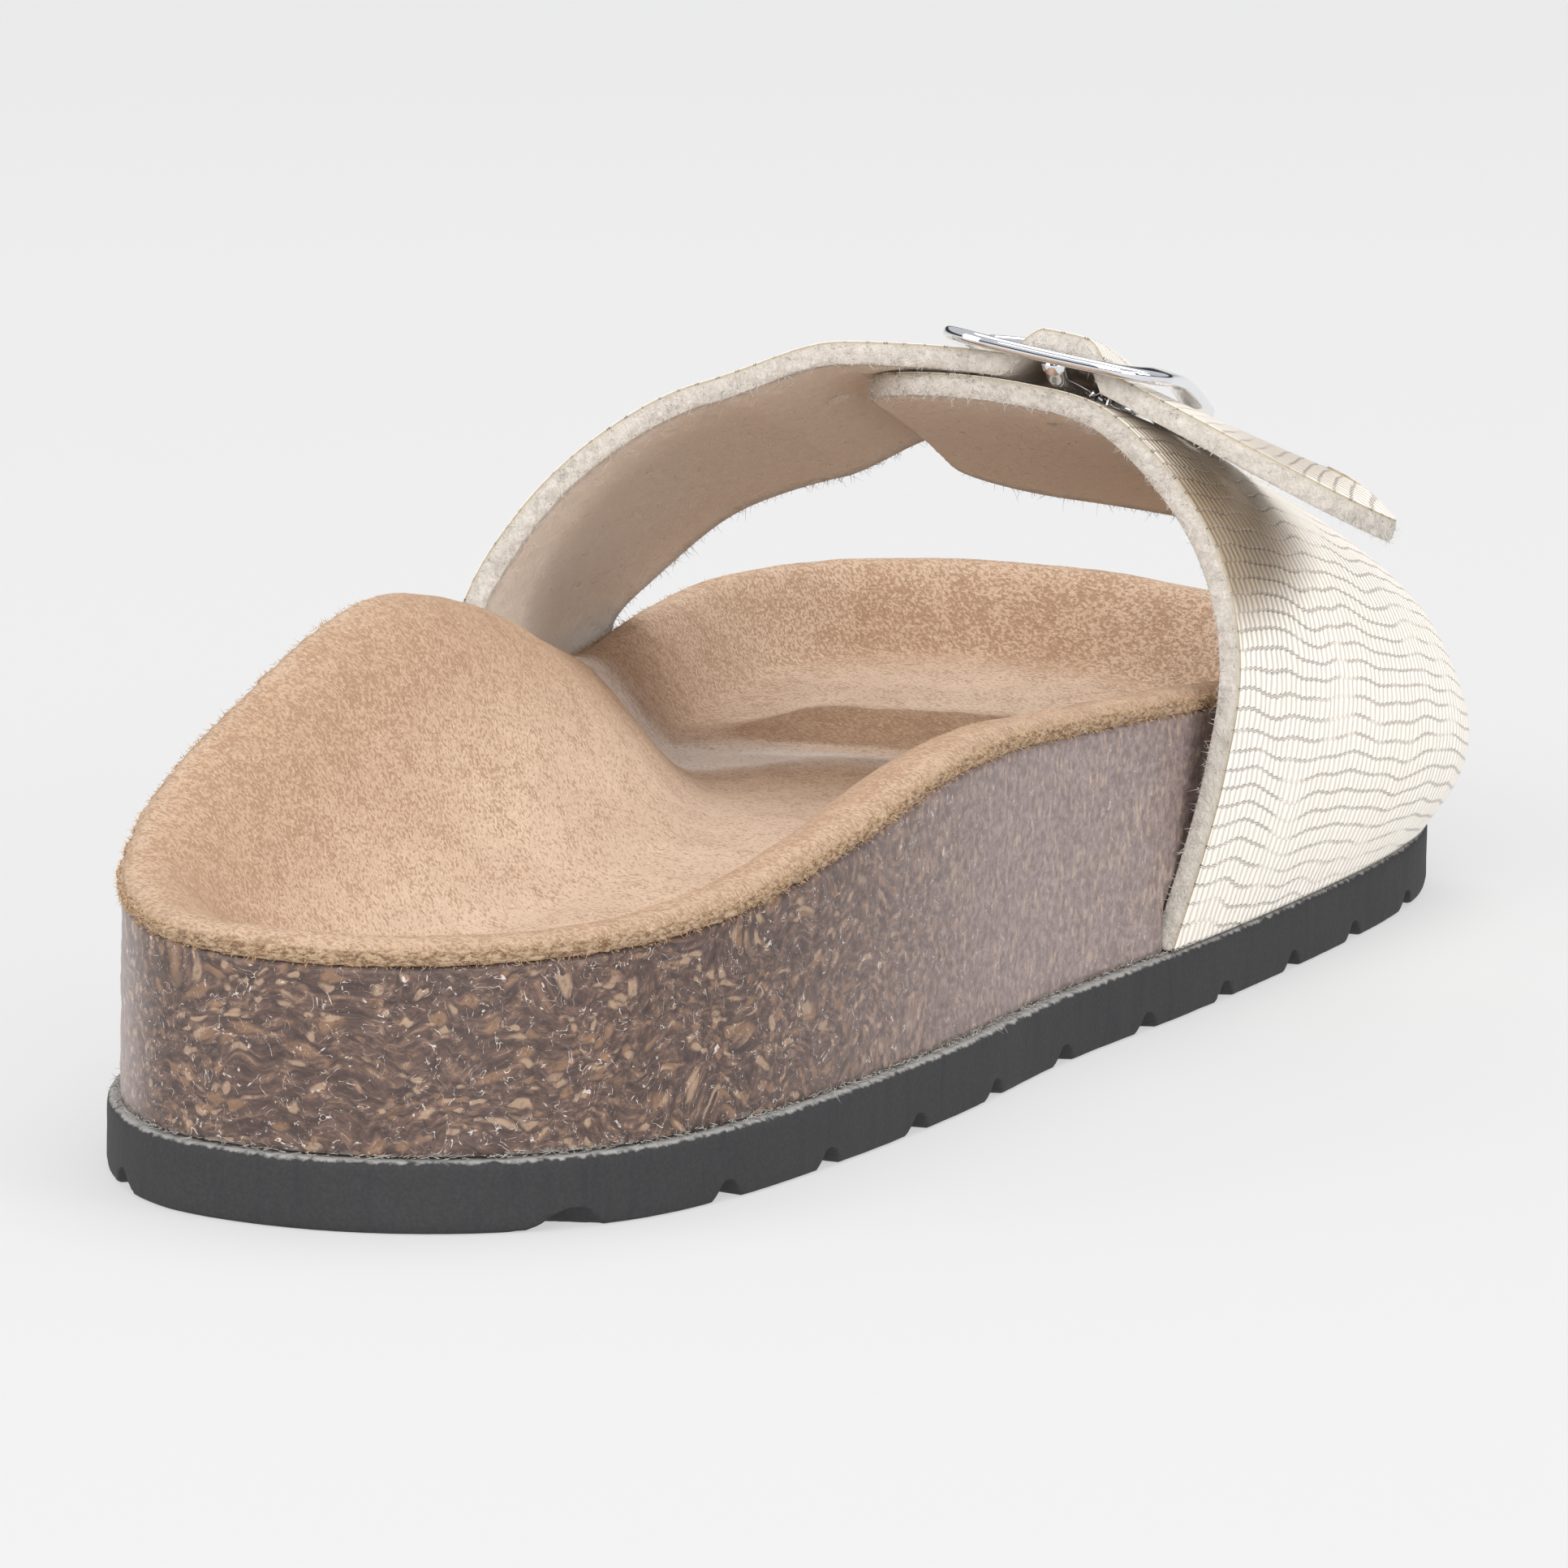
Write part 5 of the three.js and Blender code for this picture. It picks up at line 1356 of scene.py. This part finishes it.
def felt_look(context):
    """Felt: beige inside, off-white and woolly at the cut edges, a little browner next to the
    skin, and painted light, off-white and woolly, where the inner half meets the footbed, to
    lift the shade inside the strap."""
    colours = context.scene.sandal_colours
    look = Look("felt", roughness=0.95, specular_ior_level=0.15, sheen_weight=0.35, sheen_roughness=0.5)
    look.shader.inputs["Sheen Tint"].default_value = tone(244, 238, 232)
    side, depth = look.value("side"), look.value("depth")
    wool = look.noise(look.moved(look.place(), 0.6, 1.2), 0.9, 4.0, 0.65)
    fuzz = look.noise(look.moved(look.place((1.0, 2.2, 1.0), (0, 0, 0.5)), 0.9, 2.0), 1.8, 3.0, 0.6)
    colour = look.blend(fuzz.step(0.3, 0.7) * 0.6, colours.felt, tone(248, 236, 222))
    colour = look.blend(wool.step(0.42, 0.30) * 0.25, colour, tone(216, 198, 180))
    pale = look.blend(wool.step(0.15, 0.85), tone(184, 176, 166), tone(216, 209, 200))
    border = 1 - (side + wool * 5.0 + fuzz * 3.0).step(3.0, 11.0)
    edge = 1 - (side + wool * 3.0 + fuzz).step(1.6, 5.0)
    # Painted light: lightens the inside of the inner half near the footbed, to lift its shade.
    foot = look.near((-0.046, 0.046, 0.018), (0.026, 0.05, 0.036))
    colour = look.blend(border * 0.6, colour, tone(244, 236, 226))
    # Painted light near the footbed, mottled by the wool noise.
    colour = look.blend(foot * (0.35 + 0.4 * wool), colour, tone(246, 238, 230))
    colour = look.blend(edge, colour, pale)
    colour = look.blend((1 - depth.step(0.10, 0.34)) * 0.6, colour, tone(182, 172, 154))
    return look.use(base_color=colour, height=wool * 0.6 + fuzz * 0.9, depth=0.0003)


def chrome_look(context):
    """Polished plate, with hardly any haze."""
    look = Look("chrome", metallic=1.0, roughness=0.07)
    haze = look.noise(look.place(), 0.35, 2.0, 0.5)
    colour = look.blend(haze.step(0.4, 0.7) * 0.3, tone(232, 234, 238), tone(222, 224, 228))
    return look.use(base_color=colour, roughness=0.05 + 0.06 * haze)


def hair_look(name, colour):
    """Loose fibres, a little uneven in colour."""
    look = Look(name, roughness=0.9, specular_ior_level=0.2)
    uneven = look.noise(look.place(), 0.5, 2.0, 0.5)
    darker = tuple(v * 0.7 for v in colour[:3]) + (1.0,)
    return look.use(base_color=look.blend(uneven.step(0.35, 0.7), darker, colour))


def floor_look(context):
    """Pale matte floor with a glow of its own that lightens shadows."""
    look = Look("floor", roughness=0.8, specular_ior_level=0.0, emission_strength=0.53)
    look.shader.inputs["Emission Color"].default_value = (1.0, 1.0, 1.0, 1.0)
    paper = look.noise(look.place(), 0.02, 2.0, 0.5)
    pale = tuple(context.scene.sandal_colours.floor)
    return look.use(base_color=look.blend(paper * 0.1, pale, tuple(v * 0.985 for v in pale[:3]) + (1.0,)))


def make_stage(context):
    """Floor, soft light from five sides, a world with a dark band at the horizon for the
    metal to mirror, and the photograph's camera."""
    shape = Shape()
    across, along = np.meshgrid(np.linspace(-6, 6, 9), np.linspace(-6, 6, 9), indexing="ij")
    numbers = shape.add(np.stack([across, along, np.zeros_like(across)], -1))
    shape.face(np.stack([numbers[:-1, :-1], numbers[1:, :-1], numbers[1:, 1:], numbers[:-1, 1:]], -1))
    floor = shape.build("floor", floor_look(context))

    world = bpy.data.worlds.new("studio")
    world.use_nodes = True
    nodes, links = world.node_tree.nodes, world.node_tree.links
    direction = nodes.new("ShaderNodeTexCoord")
    split = nodes.new("ShaderNodeSeparateXYZ")
    ramp = nodes.new("ShaderNodeValToRGB")
    for place, level in ((0.09, 0.05), (0.20, 0.05), (0.27, 1.0)):
        element = ramp.color_ramp.elements.new(place)
        element.color = (level, level, level * 1.05, 1.0)
    ramp.color_ramp.elements[0].color = ramp.color_ramp.elements[-1].color = (1.0, 1.0, 1.0, 1.0)
    links.new(direction.outputs["Generated"], split.inputs[0])
    links.new(split.outputs["Z"], ramp.inputs[0])
    links.new(ramp.outputs[0], nodes["Background"].inputs["Color"])
    nodes["Background"].inputs["Strength"].default_value = 0.62
    context.scene.world = world
    context.scene.view_settings.view_transform = "Standard"

    for name, place, size, power in (
            ("top_light", (0.10, 0.55, 1.9), 1.7, 22.0),
            ("left_light", (-1.55, -1.1, 0.65), 1.2, 15.0),
            ("right_light", (1.9, -0.5, 0.9), 1.0, 13.0),
            ("fill_light", (1.25, -1.5, 0.32), 0.9, 9.0),
            ("front_light", (0.25, -1.75, 0.92), 1.2, 18.0)):
        lamp = bpy.data.lights.new(name, "AREA")
        lamp.shape, lamp.size, lamp.energy = "SQUARE", size, power
        thing = bpy.data.objects.new(name, lamp)
        thing.location = place
        thing.rotation_euler = (Vector((0.0, 0.0, 0.03)) - Vector(place)).to_track_quat("-Z", "Y").to_euler()
        context.scene.collection.objects.link(thing)
    place_camera(context)


def place_camera(context):
    """Camera at its distance from the target, turned by azimuth, elevation and roll."""
    last = Last(context.scene.sandal_sizes)
    azimuth, elevation, roll = (math.radians(v) for v in (CAMERA_AZIMUTH, CAMERA_ELEVATION, CAMERA_ROLL))
    back = np.array([math.sin(azimuth) * math.cos(elevation), -math.cos(azimuth) * math.cos(elevation),
                     math.sin(elevation)])
    level = unit(np.cross([0, 0, 1], back))
    upright = np.cross(back, level)
    right = math.cos(roll) * level + math.sin(roll) * upright
    up = -math.sin(roll) * level + math.cos(roll) * upright
    turn = Matrix(np.column_stack([right, up, back]).tolist()).to_4x4()
    turn.translation = Vector(CAMERA_TARGET + last.shift + back * CAMERA_DISTANCE)
    data = bpy.data.cameras.new("camera")
    data.sensor_width = SENSOR
    data.lens = CAMERA_FOCAL * SENSOR / FRAME_PIXELS
    data.clip_start, data.clip_end = 0.05, 30
    camera = bpy.data.objects.new("camera", data)
    camera.matrix_world = turn
    context.scene.collection.objects.link(camera)
    context.scene.camera = camera


class SANDAL_OT_outsole(bpy.types.Operator):
    """Make the rubber outsole"""
    bl_idname = "sandal.outsole"
    bl_label = "Outsole"

    def execute(self, context):
        make_outsole(context)
        return {"FINISHED"}


class SANDAL_OT_cork(bpy.types.Operator):
    """Make the cork body of the footbed"""
    bl_idname = "sandal.cork"
    bl_label = "Cork"

    def execute(self, context):
        make_cork(context)
        return {"FINISHED"}


class SANDAL_OT_lining(bpy.types.Operator):
    """Make the suede lining"""
    bl_idname = "sandal.lining"
    bl_label = "Lining"

    def execute(self, context):
        make_lining(context)
        return {"FINISHED"}


class SANDAL_OT_straps(bpy.types.Operator):
    """Make both halves of the strap"""
    bl_idname = "sandal.straps"
    bl_label = "Straps"

    def execute(self, context):
        make_straps(context)
        return {"FINISHED"}


class SANDAL_OT_buckle(bpy.types.Operator):
    """Make the buckle's frame, bar and prong"""
    bl_idname = "sandal.buckle"
    bl_label = "Buckle"

    def execute(self, context):
        make_buckle(context)
        return {"FINISHED"}


class SANDAL_OT_hairs(bpy.types.Operator):
    """Make the loose fibres on cut edges and along the joint"""
    bl_idname = "sandal.hairs"
    bl_label = "Hairs"

    def execute(self, context):
        make_hairs(context)
        return {"FINISHED"}


class SANDAL_OT_stage(bpy.types.Operator):
    """Make the floor, the light and the camera"""
    bl_idname = "sandal.stage"
    bl_label = "Stage"

    def execute(self, context):
        make_stage(context)
        return {"FINISHED"}


OPERATORS = (SANDAL_OT_stage, SANDAL_OT_outsole, SANDAL_OT_cork, SANDAL_OT_lining, SANDAL_OT_straps,
             SANDAL_OT_buckle, SANDAL_OT_hairs)


class SANDAL_PT_panel(bpy.types.Panel):
    """Lists the sandal's pieces"""
    bl_idname = "SANDAL_PT_panel"
    bl_label = "Cork footbed sandal"
    bl_space_type = "VIEW_3D"
    bl_region_type = "UI"
    bl_category = "Sandal"

    def draw(self, context):
        for group in (context.scene.sandal_sizes, context.scene.sandal_colours):
            for name in group.__annotations__:
                self.layout.prop(group, name)
        for operator in OPERATORS:
            self.layout.operator(operator.bl_idname)


CLASSES = (SandalSizes, SandalColours, *OPERATORS, SANDAL_PT_panel)


def register():
    for each in CLASSES:
        bpy.utils.register_class(each)
    bpy.types.Scene.sandal_sizes = PointerProperty(type=SandalSizes)
    bpy.types.Scene.sandal_colours = PointerProperty(type=SandalColours)


def unregister():
    del bpy.types.Scene.sandal_colours
    del bpy.types.Scene.sandal_sizes
    for each in reversed(CLASSES):
        bpy.utils.unregister_class(each)


def main():
    """Makes every piece in order."""
    register()
    bpy.ops.sandal.stage()
    bpy.ops.sandal.outsole()
    bpy.ops.sandal.cork()
    bpy.ops.sandal.lining()
    bpy.ops.sandal.straps()
    bpy.ops.sandal.buckle()
    bpy.ops.sandal.hairs()


if __name__ == "__main__":
    main()
